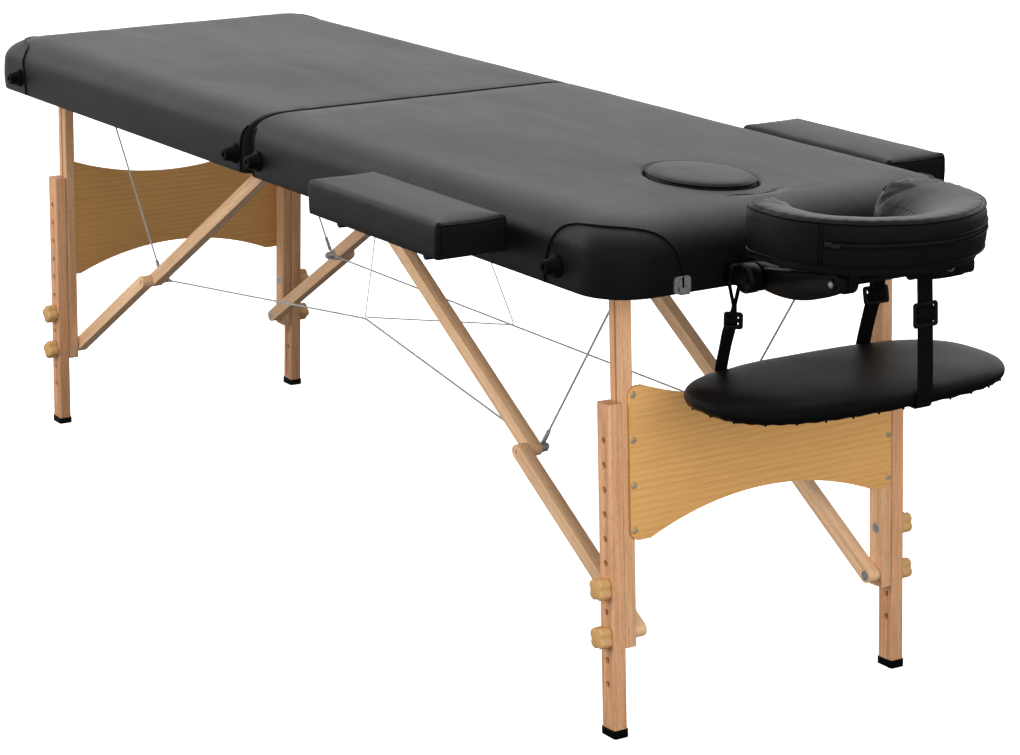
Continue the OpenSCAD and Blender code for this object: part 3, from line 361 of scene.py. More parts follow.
VINYL = vinyl_surface("vinyl", 18, 0.37, 0.43, 0.38)
SOFT_VINYL = vinyl_surface("vinyl_soft", 15, 0.31, 0.37, 0.46)
# Painted shade: the shelf's vinyl is a darker copy that mirrors less, for its place under the table.
SHADED_SHELF_VINYL = vinyl_surface("vinyl_shelf_shaded", 14, 0.36, 0.42, 0.2)
PIPING = vinyl_surface("vinyl_piping", 12, 0.4, 0.5, 0.3)
RUBBER = plain_plastic("rubber", tone(11, 11, 11), 0.55, 0.25)
BLACK = plain_plastic("black_plastic", tone(14, 14, 15), 0.4)
TAN = plain_plastic("knob_plastic", tone(190, 148, 98), 0.48)
THREAD = Surface("thread", tone(20, 20, 21), 0.7).material
ZIP = Surface("zip_teeth", tone(30, 30, 31), 0.35).material
WHITE_CORD = Surface("elastic", tone(232, 232, 230), 0.75).material

# %% Woods
BRACE_RISE = math.radians(32.17)
UPRIGHT = (0, math.radians(90), 0)


def wood_surface(name, light, dark, turn=None):
    light, dark = tone(*light), tone(*dark)
    made = Surface(name, light, 0.46, gloss=0.4)
    grain = made.use(timber, made.place(turn=turn))
    base = made.blend(light, dark, made.ramp(grain["Grain"], 0.35, 0.72))
    shade = made.blend(base, dark, made.ramp(grain["Drift"], 0.45, 0.8, 0.0, 0.45))
    fleck = tuple(0.55*c for c in dark[:3]) + (1.0,)
    made.link(made.blend(shade, fleck, made.ramp(grain["Fleck"], 0.0, 1.0, 0.0, 0.5)), "Base Color")
    made.relief(grain["Grain"], 0.12*mm, 0.5)
    return made.material


LEG_WOOD = wood_surface("beech_leg", (208, 160, 122), (188, 136, 98), UPRIGHT)
POST_WOOD = wood_surface("beech_post", (216, 172, 132), (198, 150, 110), UPRIGHT)
RAIL_WOOD = wood_surface("beech_rail", (206, 166, 128), (186, 142, 106))
HEAD_BRACE = wood_surface("beech_head_brace", (220, 183, 145), (204, 160, 122), (0, -BRACE_RISE, 0))
FOOT_BRACE = wood_surface("beech_foot_brace", (220, 183, 145), (204, 160, 122), (0, BRACE_RISE, 0))
# Painted shade: the walls of the holes drilled through the legs are near-black beech.
HOLE_SHADE_WOOD = wood_surface("beech_hole_shade", (62, 38, 24), (48, 28, 18), UPRIGHT)
PLY = wood_surface("plywood", (206, 178, 138), (188, 156, 114))
PLY_EDGE = wood_surface("ply_edge", (243, 228, 204), (228, 206, 172))

panel = Surface("panel_veneer", tone(206, 157, 97), 0.38, gloss=0.45)
lines = panel.use(veneer, panel.place(turn=(0, 0, math.radians(90))))
panel_line = panel.ramp(lines["Line"], 0.2, 1.0, 0.0, 0.5)
panel_base = panel.blend(tone(216, 165, 102), tone(204, 150, 88), panel_line)
panel_pore = panel.ramp(lines["Pore"], 0.0, 1.0, 0.0, 0.26)
panel.link(panel.blend(panel_base, tone(168, 112, 52), panel_pore), "Base Color")
PANEL = panel.material

# %% Metals and webbing
def metal_surface(name, colour, rough_low, rough_high, metal=0.72):
    made = Surface(name, colour, rough_low, metal=metal)
    scratch = made.use(brushed, made.place())["Scratch"]
    made.link(made.ramp(scratch, 0.2, 0.8, rough_low, rough_high), "Roughness")
    return made.material


STEEL = metal_surface("steel", tone(206, 208, 210), 0.22, 0.4)
CHROME = metal_surface("chrome", tone(214, 215, 217), 0.08, 0.18, 0.86)
BRASS = metal_surface("brass_plated", tone(236, 206, 142), 0.2, 0.34, 0.6)

wire = Surface("wire_rope", tone(205, 207, 207), 0.5, metal=0.5)
wire.relief(wire.use(rope, wire.place(uv="lay"))["Height"], 0.4*mm)
WIRE = wire.material
webbing = Surface("webbing", tone(16, 16, 17), 0.8, gloss=0.2)
webbing.relief(webbing.use(weave, webbing.place(uv="lay"))["Height"], 0.5*mm, 0.9)
WEBBING = webbing.material
print(len(bpy.data.materials), "materials")

# %% [markdown]
# ## Floor
#
# A wide pale floor takes the table's soft shadow and runs out into the white behind it. Its mirror image in
# the vinyl is a painted reflection: dark on the head side and glowing at the foot, as in a studio lit from
# that end.
# To bounced light the floor is painted dull, which keeps a painted shade under the table.

# %% Floor
FLOOR = 60
PALE, BOUNCE_SHADE, DARK = [(grey, grey, grey, 1) for grey in (0.92, 0.14, 0.04)]


def plain_mesh(name, points, faces, edges=()):
    mesh = bpy.data.meshes.new(name)
    mesh.from_pydata(points, list(edges), faces)
    return mesh


floor_corners = [(-FLOOR, -FLOOR, 0), (FLOOR, -FLOOR, 0), (FLOOR, FLOOR, 0), (-FLOOR, FLOOR, 0)]
floor = new_object("floor", plain_mesh("floor", floor_corners, [(0, 1, 2, 3)]))
ground = Surface("floor", PALE, 0.9, gloss=0.0)
ground.shader["Emission Color"].default_value = WHITE
here = ground.place()
span = put(ground.tree, "ShaderNodeVectorMath", {0: here}, operation="LENGTH").outputs["Value"]
east = put(ground.tree, "ShaderNodeSeparateXYZ", {"Vector": here}).outputs["X"]
rays = put(ground.tree, "ShaderNodeLightPath").outputs
seen_glow = calc(ground.tree, "MULTIPLY", ground.ramp(span, 0.8, 3.2, 0.72, 1.0), rays["Is Camera Ray"])
# Painted light: to bounced light the floor is dull, a painted shade under the table; in mirrors it is dark
# and glows towards the foot end.
image_glow = calc(ground.tree, "MULTIPLY", ground.ramp(east, -3.6, 0.2, 0.55, 0.0), rays["Is Glossy Ray"])
ground.link(calc(ground.tree, "ADD", seen_glow, image_glow), "Emission Strength")
floor_tone = ground.blend(PALE, BOUNCE_SHADE, rays["Is Diffuse Ray"])
ground.link(ground.blend(floor_tone, DARK, rays["Is Glossy Ray"]), "Base Color")
floor.data.materials.append(ground.material)
print("floor", 2*FLOOR, "m across")

# %% [markdown]
# ## Builders
#
# Rings of points are bridged into skins, and tubes and straps follow paths. A copy of a hard piece from the
# frame gets small rounded edges, as sanded wood and pressed metal have.

# %% Meshes from rings
def add_piece(name, points, faces, *materials, uv=None):
    mesh = plain_mesh(name, [(MID + x, y, z) for x, y, z in points], faces)
    for material in materials:
        mesh.materials.append(material)
    if uv:
        layer = mesh.uv_layers.new(name="lay")
        for loop, pair in zip(layer.data, uv):
            loop.uv = pair
    mesh.shade_smooth()
    return new_object(name, mesh)


def weld(obj, gap=2e-6):
    """Merges points that meet and turns every face outward."""
    bm = bmesh.new()
    bm.from_mesh(obj.data)
    bmesh.ops.remove_doubles(bm, verts=bm.verts, dist=gap)
    bmesh.ops.dissolve_degenerate(bm, edges=bm.edges, dist=1e-7)
    bmesh.ops.recalc_face_normals(bm, faces=bm.faces)
    bm.to_mesh(obj.data)
    bm.free()
    return obj


def bridge(rows, count):
    faces = []
    for k in range(rows - 1):
        for i in range(count):
            j = (i + 1) % count
            faces.append((k*count + i, k*count + j, (k + 1)*count + j, (k + 1)*count + i))
    return faces


def capped(rows, count):
    """A bridged skin with its first and last ring closed."""
    last = (rows - 1)*count
    return bridge(rows, count) + [tuple(range(count)), tuple(last + i for i in range(count))]


def loft(name, points, count, material):
    """A closed skin over rings of count points."""
    return weld(add_piece(name, points, capped(len(points)//count, count), material))


def circle(steps):
    return [2*math.pi*i/steps for i in range(steps)]


def eased(value, low, high):
    t = min(max((value - low)/(high - low), 0), 1)
    return t*t*(3 - 2*t)


def rounded_loop(corners, corner_steps):
    """A loop of rounded corners, each (x, y, radius, first angle, steps to the next corner)."""
    arcs = []
    for x, y, r, start, steps in corners:
        turns = [math.radians(start + 90*i/corner_steps) for i in range(corner_steps + 1)]
        arcs.append([(x + r*math.cos(a), y + r*math.sin(a)) for a in turns])
    points = []
    for k, arc in enumerate(arcs):
        points += arc
        ahead = arcs[(k + 1) % 4][0]
        steps = corners[k][4]
        for i in range(1, steps):
            t = i/steps
            points.append((arc[-1][0]*(1 - t) + ahead[0]*t, arc[-1][1]*(1 - t) + ahead[1]*t))
    return points


# %% Tubes and straps along paths
def lengths(path):
    total = [0.0]
    for a, b in zip(path, path[1:]):
        total.append(total[-1] + (Vector(b) - Vector(a)).length)
    return total


def directions(path, closed=False):
    count = len(path)
    found = []
    for k in range(count):
        before = path[k - 1] if closed or k > 0 else path[k]
        after = path[(k + 1) % count] if closed or k < count - 1 else path[k]
        found.append((Vector(after) - Vector(before)).normalized())
    return found


def strip_uv(run, marks):
    """UV of a bridged skin: marks[k] are the places across ring k, and run[k] is its place along."""
    uv = []
    for k in range(len(run) - 1):
        for a, b in zip(marks[k], marks[k][1:]):
            uv += [(a, run[k]), (b, run[k]), (b, run[k + 1]), (a, run[k + 1])]
    return uv


def tube(name, path, radius, material, sides=10, closed=False):
    """A round tube with a UV that runs round it and along it in metres."""
    path = [Vector(p) for p in path]
    ahead = directions(path, closed)
    first = UP if abs(ahead[0].z) < 0.9 else FAR
    side = ahead[0].cross(first).normalized()
    run = lengths(path)
    points = []
    for place, step in zip(path, ahead):
        side = (step.cross(UP) if closed else side - side.dot(step)*step).normalized()
        up = step.cross(side)
        points += [place + radius*(math.cos(a)*side + math.sin(a)*up) for a in circle(sides)]
    rows = len(path)
    if closed:
        rows = rows + 1
        run.append(run[-1] + (path[0] - path[-1]).length)
        points.extend(points[:sides])
    uv = strip_uv(run, [[i/sides for i in range(sides + 1)]]*rows)
    uv += [] if closed else [(0, 0)]*sides + [(0, run[-1])]*sides
    faces = bridge(rows, sides) if closed else capped(rows, sides)
    return weld(add_piece(name, points, faces, material, uv=uv))


def ribbon(name, path, sides, sections, material):
    """A flat band along a path, with a direction of width and a section at each point."""
    path = [Vector(p) for p in path]
    run = lengths(path)
    points = []
    for place, step, side, section in zip(path, directions(path), sides, sections):
        flat = (Vector(side) - Vector(side).dot(step)*step).normalized()
        out = flat.cross(step)
        points += [place + a*flat + n*out for a, n in section]
    count = len(sections[0])
    uv = strip_uv(run, [[a for a, n in section + section[:1]] for section in sections])
    uv += [(0, 0)]*count + [(0, run[-1])]*count
    return weld(add_piece(name, points, capped(len(path), count), material, uv=uv))


def strap(name, path, across, width, thick, material):
    """A strap of one width. across is the direction of its width."""
    half, low = width/2, thick/2
    flat = half - 0.6*thick
    section = [(-half, 0), (-flat, low), (0, low*1.1), (flat, low),
               (half, 0), (flat, -low), (0, -low*1.1), (-flat, -low)]
    return ribbon(name, path, [across]*len(path), [section]*len(path), material)


def twisted_strap(name, path, sides, widths, thick, material):
    """A strap whose direction of width and width change along the path."""
    shape = [(-0.5, 0), (-0.47, 0.5), (0, 0.55), (0.47, 0.5),
             (0.5, 0), (0.47, -0.5), (0, -0.55), (-0.47, -0.5)]
    sections = [[(a*width, n*thick) for a, n in shape] for width in widths]
    return ribbon(name, path, sides, sections, material)


def smooth_path(points, steps=8):
    """A rounded path through the points."""
    points = [Vector(p) for p in points]
    found = []
    for k in range(len(points) - 1):
        a = points[max(k - 1, 0)]
        b = points[k]
        c = points[k + 1]
        d = points[min(k + 2, len(points) - 1)]
        for i in range(steps):
            t = i/steps
            found.append(0.5*((2*b) + (c - a)*t + (2*a - 5*b + 4*c - d)*t*t + (3*b - a - 3*c + d)*t**3))
    found.append(points[-1])
    return found


def settle(obj, body, slot, *nodes):
    """Hands a finished piece to its body and hides the frame pieces it stands for. slot is not used."""
    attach(obj, body)
    if nodes:
        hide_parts(*nodes)
    return obj


def settle_cover(obj, fill, body, *nodes):
    """Hands over a padded cover."""
    settle(obj, body, "vinyl", *nodes)
    print(obj.name, len(obj.data.polygons), "faces")


def pipe_along(name, path, radius, body, **shape):
    """A line of piping that rides with a body."""
    settle(tube(name, path, radius, PIPING, **shape), body, "vinyl")


# %% Rounded copies of hard pieces
def bake(obj):
    """Turns a piece and its modifier into a plain mesh."""
    baked = bpy.data.meshes.new_from_object(obj.evaluated_get(bpy.context.evaluated_depsgraph_get()))
    obj.modifiers.clear()
    obj.data = baked
    return obj


def separate_solids(bm):
    """The faces of each separate solid."""
    left = dict.fromkeys(bm.faces)
    solids = []
    while left:
        solid = [left.popitem()[0]]
        for face in solid:
            for edge in face.edges:
                for other in edge.link_faces:
                    if other in left:
                        del left[other]
                        solid.append(other)
        solids.append(solid)
    return solids


def box_of(faces):
    corners = [v.co for face in faces for v in face.verts]
    return [Vector([pick(c[k] for c in corners) for k in range(3)]) for pick in (min, max)]


def softened(node, width, *materials, pick=None):
    """A copy of a frame piece with rounded edges. pick(face, size) chooses its material by number."""
    mesh = frame["nodes"][node].data.copy()
    mesh.name = node + "_finished"
    bm = bmesh.new()
    bm.from_mesh(mesh)
    bmesh.ops.remove_doubles(bm, verts=bm.verts, dist=2e-6)
    bmesh.ops.dissolve_limit(bm, angle_limit=math.radians(1), verts=bm.verts, edges=bm.edges)
    bmesh.ops.recalc_face_normals(bm, faces=bm.faces)
    for solid in separate_solids(bm):
        low, high = box_of(solid)
        for face in solid:
            face.smooth = True
            face.material_index = pick(face, max(high - low)) if pick else 0
    bm.to_mesh(mesh)
    bm.free()
    mesh.materials.clear()
    for material in materials:
        mesh.materials.append(material)
    made = new_object(node + "_finished", mesh)
    bevel = made.modifiers.new("edges", "BEVEL")
    bevel.width = width
    bevel.segments = 2
    bevel.limit_method = "ANGLE"
    bevel.angle_limit = math.radians(38)
    bevel.harden_normals = True
    return bake(made)


def body_of(node):
    return frame["nodes"][node]["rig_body"]


def finish_node(node, slot, width, *materials, pick=None):
    return settle(softened(node, width, *materials, pick=pick), body_of(node), slot, node)


# %% [markdown]
# ## Repeats
#
# Stitches, staples and zip teeth are one Geometry Nodes tree: it walks a path and lays a small bead at
# every step. Screws are a second tree that sets one head at each point.

# %% Repeat trees
def node_tree(name, **inputs):
    tree = bpy.data.node_groups.new(name, "GeometryNodeTree")
    for label, kind in {"Geometry": "Geometry", **inputs}.items():
        tree.interface.new_socket(label, in_out="INPUT", socket_type="NodeSocket" + kind)
    tree.interface.new_socket("Geometry", in_out="OUTPUT", socket_type="NodeSocketGeometry")
    return tree, tree.nodes.new("NodeGroupInput").outputs


def outward_turn(tree):
    """Rotation that points Z along the stored outward direction."""
    stored = put(tree, "GeometryNodeInputNamedAttribute", {"Name": "out"}, data_type="FLOAT_VECTOR")
    align = {"Vector": stored.outputs["Attribute"]}
    return put(tree, "FunctionNodeAlignRotationToVector", align, axis="Z").outputs["Rotation"]


def close_tree(tree, source, copies):
    """Ends a tree with real geometry in one material."""
    whole = put(tree, "GeometryNodeRealizeInstances", {"Geometry": copies.outputs["Instances"]})
    painted = {"Geometry": whole.outputs["Geometry"], "Material": source["Material"]}
    paint = put(tree, "GeometryNodeSetMaterial", painted)
    put(tree, "NodeGroupOutput", {"Geometry": paint.outputs["Geometry"]})


bead_tree, source = node_tree("bead_row", Spacing="Float", Size="Vector", Material="Material")
as_curve = put(bead_tree, "GeometryNodeMeshToCurve", {"Mesh": source["Geometry"]}).outputs["Curve"]
steps = {"Curve": as_curve, "Length": source["Spacing"]}
even = put(bead_tree, "GeometryNodeResampleCurve", steps, mode="LENGTH")
bead = put(bead_tree, "GeometryNodeMeshUVSphere", {"Segments": 8, "Rings": 5, "Radius": 0.5})
tangent = put(bead_tree, "GeometryNodeInputTangent").outputs["Tangent"]
spin = put(bead_tree, "FunctionNodeAlignRotationToVector",
           {"Rotation": outward_turn(bead_tree), "Vector": tangent}, axis="X", pivot_axis="Z")
close_tree(bead_tree, source, put(bead_tree, "GeometryNodeInstanceOnPoints", {
    "Points": even.outputs["Curve"], "Instance": bead.outputs["Mesh"],
    "Rotation": spin.outputs["Rotation"], "Scale": source["Size"]}))

head_tree, source = node_tree("set_heads", Head="Object", Material="Material")
one_head = put(head_tree, "GeometryNodeObjectInfo", {"Object": source["Head"]})
close_tree(head_tree, source, put(head_tree, "GeometryNodeInstanceOnPoints", {
    "Points": source["Geometry"], "Instance": one_head.outputs["Geometry"],
    "Rotation": outward_turn(head_tree)}))


# %% Running the trees
def run_tree(name, tree, spots, edges, **values):
    """Runs a tree on spots, each a place and an outward direction."""
    mesh = plain_mesh(name, [(MID + p[0], p[1], p[2]) for p, n in spots], [], edges)
    stored = mesh.attributes.new("out", "FLOAT_VECTOR", "POINT")
    for slot, (p, n) in zip(stored.data, spots):
        slot.vector = n
    made = new_object(name, mesh)
    modifier = made.modifiers.new("repeat", "NODES")
    modifier.node_group = tree
    for socket in tree.interface.items_tree:
        if socket.in_out == "INPUT" and socket.name in values:
            modifier[socket.identifier] = values[socket.name]
    made.update_tag()
    bake(made).data.shade_smooth()
    return made


STITCH = (3.0, 0.8, 0.7)
STITCH_STEP = 4.2*mm


def bead_row(name, paths, spacing, size, material, body, slot):
    """Beads along paths of spots. size is in millimetres."""
    spots, edges = [], []
    for path in paths:
        edges += [(len(spots) + k, len(spots) + k + 1) for k in range(len(path) - 1)]
        spots += path
    metres = [s*mm for s in size]
    made = run_tree(name, bead_tree, spots, edges, Spacing=spacing, Size=metres, Material=material)
    print(name, len(made.data.polygons)//40, "beads")
    return settle(made, body, slot)


def staple_row(name, loop, z, spacing, size, body):
    """Staples under a board, along a closed loop."""
    edge = [(Vector((x, y, z)), DOWN) for x, y in loop + loop[:1]]
    bead_row(name, [edge], spacing, size, STEEL, body, "steel")


def set_heads(name, spots, head, material, body):
    """One screw or rivet head at each spot."""
    made = run_tree(name, head_tree, spots, [], Head=head, Material=material)
    return settle(made, body, "steel")


# %% [markdown]
# ## Table covers
#
# Each half wears one cover: a skirt over the rails, a soft rolled edge and a crowned top.
# It is built as rings that climb the side and then close in on the face hole or, on the foot half, on
# the middle. The skirt is turned under the rails and stapled.

# %% Plan of one half
CORNER_STEPS = 14
END_STEPS = 40
SIDE_STEPS = 66


def outline(inset, hinge=None, soft=0.0):
    """Outline of the head half from the start of its near end corner, anticlockwise.
    hinge is the inset at the centre hinge, and soft widens the end corners."""
    x0 = GAP + (inset if hinge is None else hinge)
    x1 = HALF - inset*(END_STRETCH if inset > 0 and soft > 0 else 1)
    y1 = WIDE - inset
    end = max(END_R + soft - inset, 3*mm)
    fold = max(0.6*HINGE_R - inset, 9*mm)
    corners = [
        (x1 - end, end - y1, end, -90, END_STEPS),
        (x1 - end, y1 - end, end, 0, SIDE_STEPS),
        (x0 + fold, y1 - fold, fold, 90, END_STEPS),
        (x0 + fold, fold - y1, fold, 180, SIDE_STEPS)]
    return rounded_loop(corners, CORNER_STEPS)


EDGE = outline(0)
COUNT = len(EDGE)
EDGE_RUN = lengths([(x, y, 0) for x, y in EDGE + EDGE[:1]])
CORNER_RUN = END_R*math.pi/2


def oval_point(x, y, centre, a, b):
    """Where the line from the oval's centre towards a point crosses the oval."""
    dx, dy = x - centre, y
    r = 1/math.hypot(dx/a, dy/b)
    return centre + dx*r, dy*r


def crowned(x, y):
    """Height of the crowned top."""
    low = GAP + HINGE_ROLL*ROLL
    high = HALF - END_STRETCH*ROLL
    u = (2*x - low - high)/(high - low)
    v = y/(WIDE - ROLL)
    return TOP_Z + CROWN*max(0, 1 - u**2)**2*max(0, 1 - v**2)**2


# %% Cover skin
SKIRT = [(20, -1.0), (8, -1.1), (2.5, -1.1), (0.7, -0.7), (0.1, 0.4), (-0.3, 4), (-0.8, 10), (-1.1, 17),
         (-1.1, 24), (-0.8, 31), (-0.3, 37)]
ROLL_STEPS = 11
TOP_STEPS = 13
LIP = 9*mm
TURNED_IN = 4
PLUG_PLAY = 1.5*mm


def cover_rings(hole):
    """Rings of the head half's cover from its deck side, under the skirt and over the top."""
    def level(inset, z):
        return [(x, y, z) for x, y in outline(inset)]

    a, b, centre = 60*mm, 40*mm, (GAP + HALF)/2
    if hole:
        a, b, centre = PLUG_A + PLUG_PLAY, PLUG_B + PLUG_PLAY, PLUG_X
    rings = [level(2.4*mm, DECK_Z + 0.1*mm), level(2.4*mm, SKIRT_Z - 0.2*mm), level(20*mm, SKIRT_Z - 0.2*mm)]
    under = len(rings)
    for inset, rise in SKIRT:
        rings.append(level(inset*mm, SKIRT_Z + rise*mm))
    for i in range(ROLL_STEPS + 1):
        turn = math.pi/2*i/ROLL_STEPS
        inset = ROLL*(1 - math.cos(turn)**(2/ROLL_SQUARE)) if i < ROLL_STEPS else ROLL
        z = TOP_Z - ROLL_UP + ROLL_UP*math.sin(turn)**(2/ROLL_SQUARE)
        edge = outline(inset, HINGE_ROLL*inset, CORNER_SOFT*inset/ROLL)
        rings.append([(x, y, z) for x, y in edge])
    top = len(rings)
    wide = 40*mm if hole else 0.0
    start = outline(ROLL, HINGE_ROLL*ROLL, CORNER_SOFT)
    goal = [oval_point(x, y, centre, a + wide, b + wide) for x, y in start]
    for i in range(1, TOP_STEPS + 1):
        t = i/TOP_STEPS
        ring = [(p[0]*(1 - t) + q[0]*t, p[1]*(1 - t) + q[1]*t) for p, q in zip(start, goal)]
        rings.append([(x, y, crowned(x, y)) for x, y in ring])
    if hole:
        for gap in (28, 19, 13, 9, 6.5, 4.5, 3, 1.7, 0.7, 0.15):
            d = gap*mm
            drop = LIP - math.sqrt(LIP**2 - (LIP - min(d, LIP))**2)
            ring = [oval_point(x, y, centre, a + d, b + d) for x, y in start]
            rings.append([(x, y, crowned(x, y) - drop - 1.2*mm*math.exp(-d/0.02)) for x, y in ring])
        for z in (TOP_Z - 16*mm, DECK_Z + 0.1*mm):
            rings.append([(*oval_point(x, y, centre, a, b), z) for x, y in start])
    else:
        for shrink in (0.6, 0.25):
            ring = [oval_point(x, y, centre, a*shrink, b*shrink) for x, y in start]
            rings.append([(x, y, crowned(x, y)) for x, y in ring])
    return rings, under, top


def slack_at(place, k, under, top, run):
    """How far the vinyl stands off its smooth shape."""
    x, y, z = place
    if k < under + TURNED_IN:
        return 0.0
    wide = noise.noise(Vector((x*9, y*9, z*14)))
    if k < top:
        folds = noise.noise(Vector((run*55, z*16, 3.7)))
        return mm*(0.55*wide + 0.35*folds)
    small = noise.noise(Vector((x*34, y*34, 1.3)))
    return mm*(0.75*wide + 0.22*small)


def make_cover(end, side, hole):
    """One half's cover. Gives the places and outward directions of its outer side."""
    rings, under, top = cover_rings(hole)
    flip = [[(side*x, y, z) for x, y, z in ring] for ring in rings]
    faces = capped(len(flip), COUNT)
    if hole:
        last = (len(flip) - 1)*COUNT
        faces = bridge(len(flip), COUNT)
        faces += [(last + i, last + (i + 1) % COUNT, (i + 1) % COUNT, i) for i in range(COUNT)]
    made = add_piece(end + "_cover", [p for ring in flip for p in ring], faces, VINYL)
    bm = bmesh.new()
    bm.from_mesh(made.data)
    bmesh.ops.recalc_face_normals(bm, faces=bm.faces)
    bm.normal_update()
    bm.verts.ensure_lookup_table()
    grid = []
    for k, ring in enumerate(flip):
        row = []
        for i, place in enumerate(ring):
            vertex = bm.verts[k*COUNT + i]
            vertex.co += vertex.normal*slack_at(place, k, under, top, EDGE_RUN[i])
            row.append((vertex.co - Vector((MID, 0, 0)), vertex.normal.copy()))
        grid.append(row)
    bm.to_mesh(made.data)
    bm.free()
    settle_cover(made, 0.9, end + "_half", end + "_cushion", end + "_side_wrap")
    return grid[under + TURNED_IN:top]


skins = {end: make_cover(end, side, end == "head") for end, side in ENDS}

# %% [markdown]
# ## Seams on the covers
#
# A patch is let in at each outer corner. Its piped seam rises from the skirt beside the bumper, arches over
# the rolled edge and comes down on the end. A row of stitches runs inside it.

# %% Points on a cover
SKIN_RUN = lengths([row[0][0] for row in skins["head"]])


def on_skin(skin, run, climb):
    """Place and outward direction, run along the outline and climb up the side from the skirt's edge."""
    total = EDGE_RUN[-1]
    run = run % total
    i = max(k for k in range(COUNT) if EDGE_RUN[k] <= run)
    s = (run - EDGE_RUN[i])/(EDGE_RUN[i + 1] - EDGE_RUN[i])
    climb = min(max(climb, 0), SKIN_RUN[-1] - 1e-6)
    k = max(n for n in range(len(SKIN_RUN) - 1) if SKIN_RUN[n] <= climb)
    t = (climb - SKIN_RUN[k])/(SKIN_RUN[k + 1] - SKIN_RUN[k])
    j = (i + 1) % COUNT
    found = []
    for part in (0, 1):
        low = skin[k][i][part].lerp(skin[k][j][part], s)
        high = skin[k + 1][i][part].lerp(skin[k + 1][j][part], s)
        found.append(low.lerp(high, t))
    return found[0], found[1].normalized()


# %% Arched corner seams
ARCH_SIDE = -74*mm
ARCH_END = 147*mm
ARCH_TOP = 100*mm
ARCH_STEPS = 72
HINGE_SEAM = 74*mm
HINGE_STEPS = 24
STITCH_IN = 5*mm


def arch(skin, far, inside=0.0):
    """The corner seam on one skin, as (place, outward) pairs. far mirrors it to the far corner."""
    middle = (ARCH_SIDE + ARCH_END)/2
    reach = (ARCH_END - ARCH_SIDE)/2 - inside
    mirror = EDGE_RUN[CORNER_STEPS + END_STEPS] + CORNER_RUN
    path = []
    for k in range(ARCH_STEPS + 1):
        turn = math.pi*k/ARCH_STEPS
        run = middle - reach*math.copysign(abs(math.cos(turn))**0.8, math.cos(turn))
        climb = (ARCH_TOP - inside)*math.sin(turn)**0.85
        path.append(on_skin(skin, mirror - run if far else run, climb))
    return path


def hinge_seam(skin, far):
    """The upright seam at a hinge corner."""
    corner = 2*CORNER_STEPS + END_STEPS + SIDE_STEPS + (0 if far else CORNER_STEPS + END_STEPS)
    middle = EDGE_RUN[corner] + HINGE_R*math.pi/4
    return [on_skin(skin, middle, HINGE_SEAM*k/HINGE_STEPS) for k in range(HINGE_STEPS + 1)]


PIPE = 1.7*mm
for end, way in ENDS:
    skin, body = skins[end], end + "_half"
    for place, far in (("near", False), ("far", True)):
        for kind, path, lift in (("corner", arch(skin, far), 0.25), ("hinge", hinge_seam(skin, far), 0.1)):
            line = [p + lift*PIPE*n for p, n in path]
            pipe_along(f"{end}_{place}_{kind}_seam", line, PIPE, body)
    rows = [arch(skin, far, STITCH_IN) for far in (False, True)]
    bead_row(end + "_corner_stitches", rows, STITCH_STEP, STITCH, THREAD, body, "vinyl")
    loop = [(way*x, y) for x, y in outline(11*mm)]
    staple_row(end + "_staples", loop, SKIRT_Z - 1.2*mm, 38*mm, (11, 1.4, 1.2), body)

# %% [markdown]
# ## Wooden legs
#
# Posts, legs, braces and rails are beech. The end panels are thin veneered board with a pale edge, held by
# plated screws. The knobs are tan plastic clovers, lofted from one four-lobed outline.

# %% Clover knob
KNOB_STEPS = 64
KNOB_LEVELS = [(0, 0.9), (0.04, 0.96), (0.12, 0.99), (0.25, 1.0), (0.72, 1.0), (0.85, 0.985), (0.93, 0.95),
               (0.98, 0.89), (1.0, 0.8)]


def clover_knob(node, sign):
    """A four-lobed hand knob on the outer face of a leg, each one left at its own turn."""
    low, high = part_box(node)
    x, z = (low.x + high.x)/2 - MID, (low.z + high.z)/2
    size = (high.z - low.z)/2
    face = low.y if sign > 0 else high.y
    turned = math.radians(18*noise.noise(Vector((x*3.1, face*9, z*17))) + (38 if x < 0 else 6))
    points = []
    for depth, share in KNOB_LEVELS:
        y = face + sign*depth*(high.y - low.y)
        for a in circle(KNOB_STEPS):
            r = size*share*(0.965 - 0.145*math.cos(4*a) - 0.03*math.cos(8*a))
            points.append((x + r*math.cos(a + turned), y, z + r*math.sin(a + turned)))
    made = loft(node + "_clover", points, KNOB_STEPS, TAN)
    return settle(made, body_of(node), "knob_plastic", node)


# %% Wood and its fasteners
def by_size(limit):
    return lambda face, size: 0 if size > limit else 1


def hole_wall(face, size):
    """Picks the wall of a drilled hole, which gets a painted shade: a narrow strip that runs through the leg.
    """
    return 1 if abs(face.normal.y) < 0.3 and face.calc_area() < 60*mm*mm else 0


def board_edge(face, size):
    """Picks the narrow sides of an end panel."""
    return 0 if abs(face.normal.x) > 0.7 else 1


for end, brace in (("head", HEAD_BRACE), ("foot", FOOT_BRACE)):
    finish_node(end + "_posts", "beech", 1.2*mm, POST_WOOD)
    for level in ("upper", "lower"):
        finish_node(f"{end}_{level}_braces", "beech", 1.5*mm, brace, STEEL, pick=by_size(60*mm))
    finish_node(end + "_panel", "panel_wood", 0.8*mm, PANEL, PLY_EDGE, pick=board_edge)
    finish_node(end + "_leg_fasteners", "steel", 0.4*mm, STEEL, BRASS, pick=by_size(14*mm))
    finish_node(end + "_knuckle_eyes", "steel", 0.4*mm, STEEL)
    finish_node(end + "_frame", "beech", 1.0*mm, RAIL_WOOD)
    finish_node(end + "_deck", "plywood", 0.5*mm, PLY)
    finish_node(end + "_bumpers", "rubber", 0.6*mm, RUBBER)
    finish_node(end + "_fittings", "steel", 0.4*mm, CHROME)
    for side, sign in SIDES:
        finish_node(f"{end}_{side}_leg", "beech", 0.8*mm, LEG_WOOD, HOLE_SHADE_WOOD, pick=hole_wall)
        finish_node(f"{end}_{side}_foot", "rubber", 0.8*mm, RUBBER)
        for level in ("upper", "lower"):
            clover_knob(f"{end}_{side}_{level}_knob", sign)
    print(end, "legs, rails and knobs")

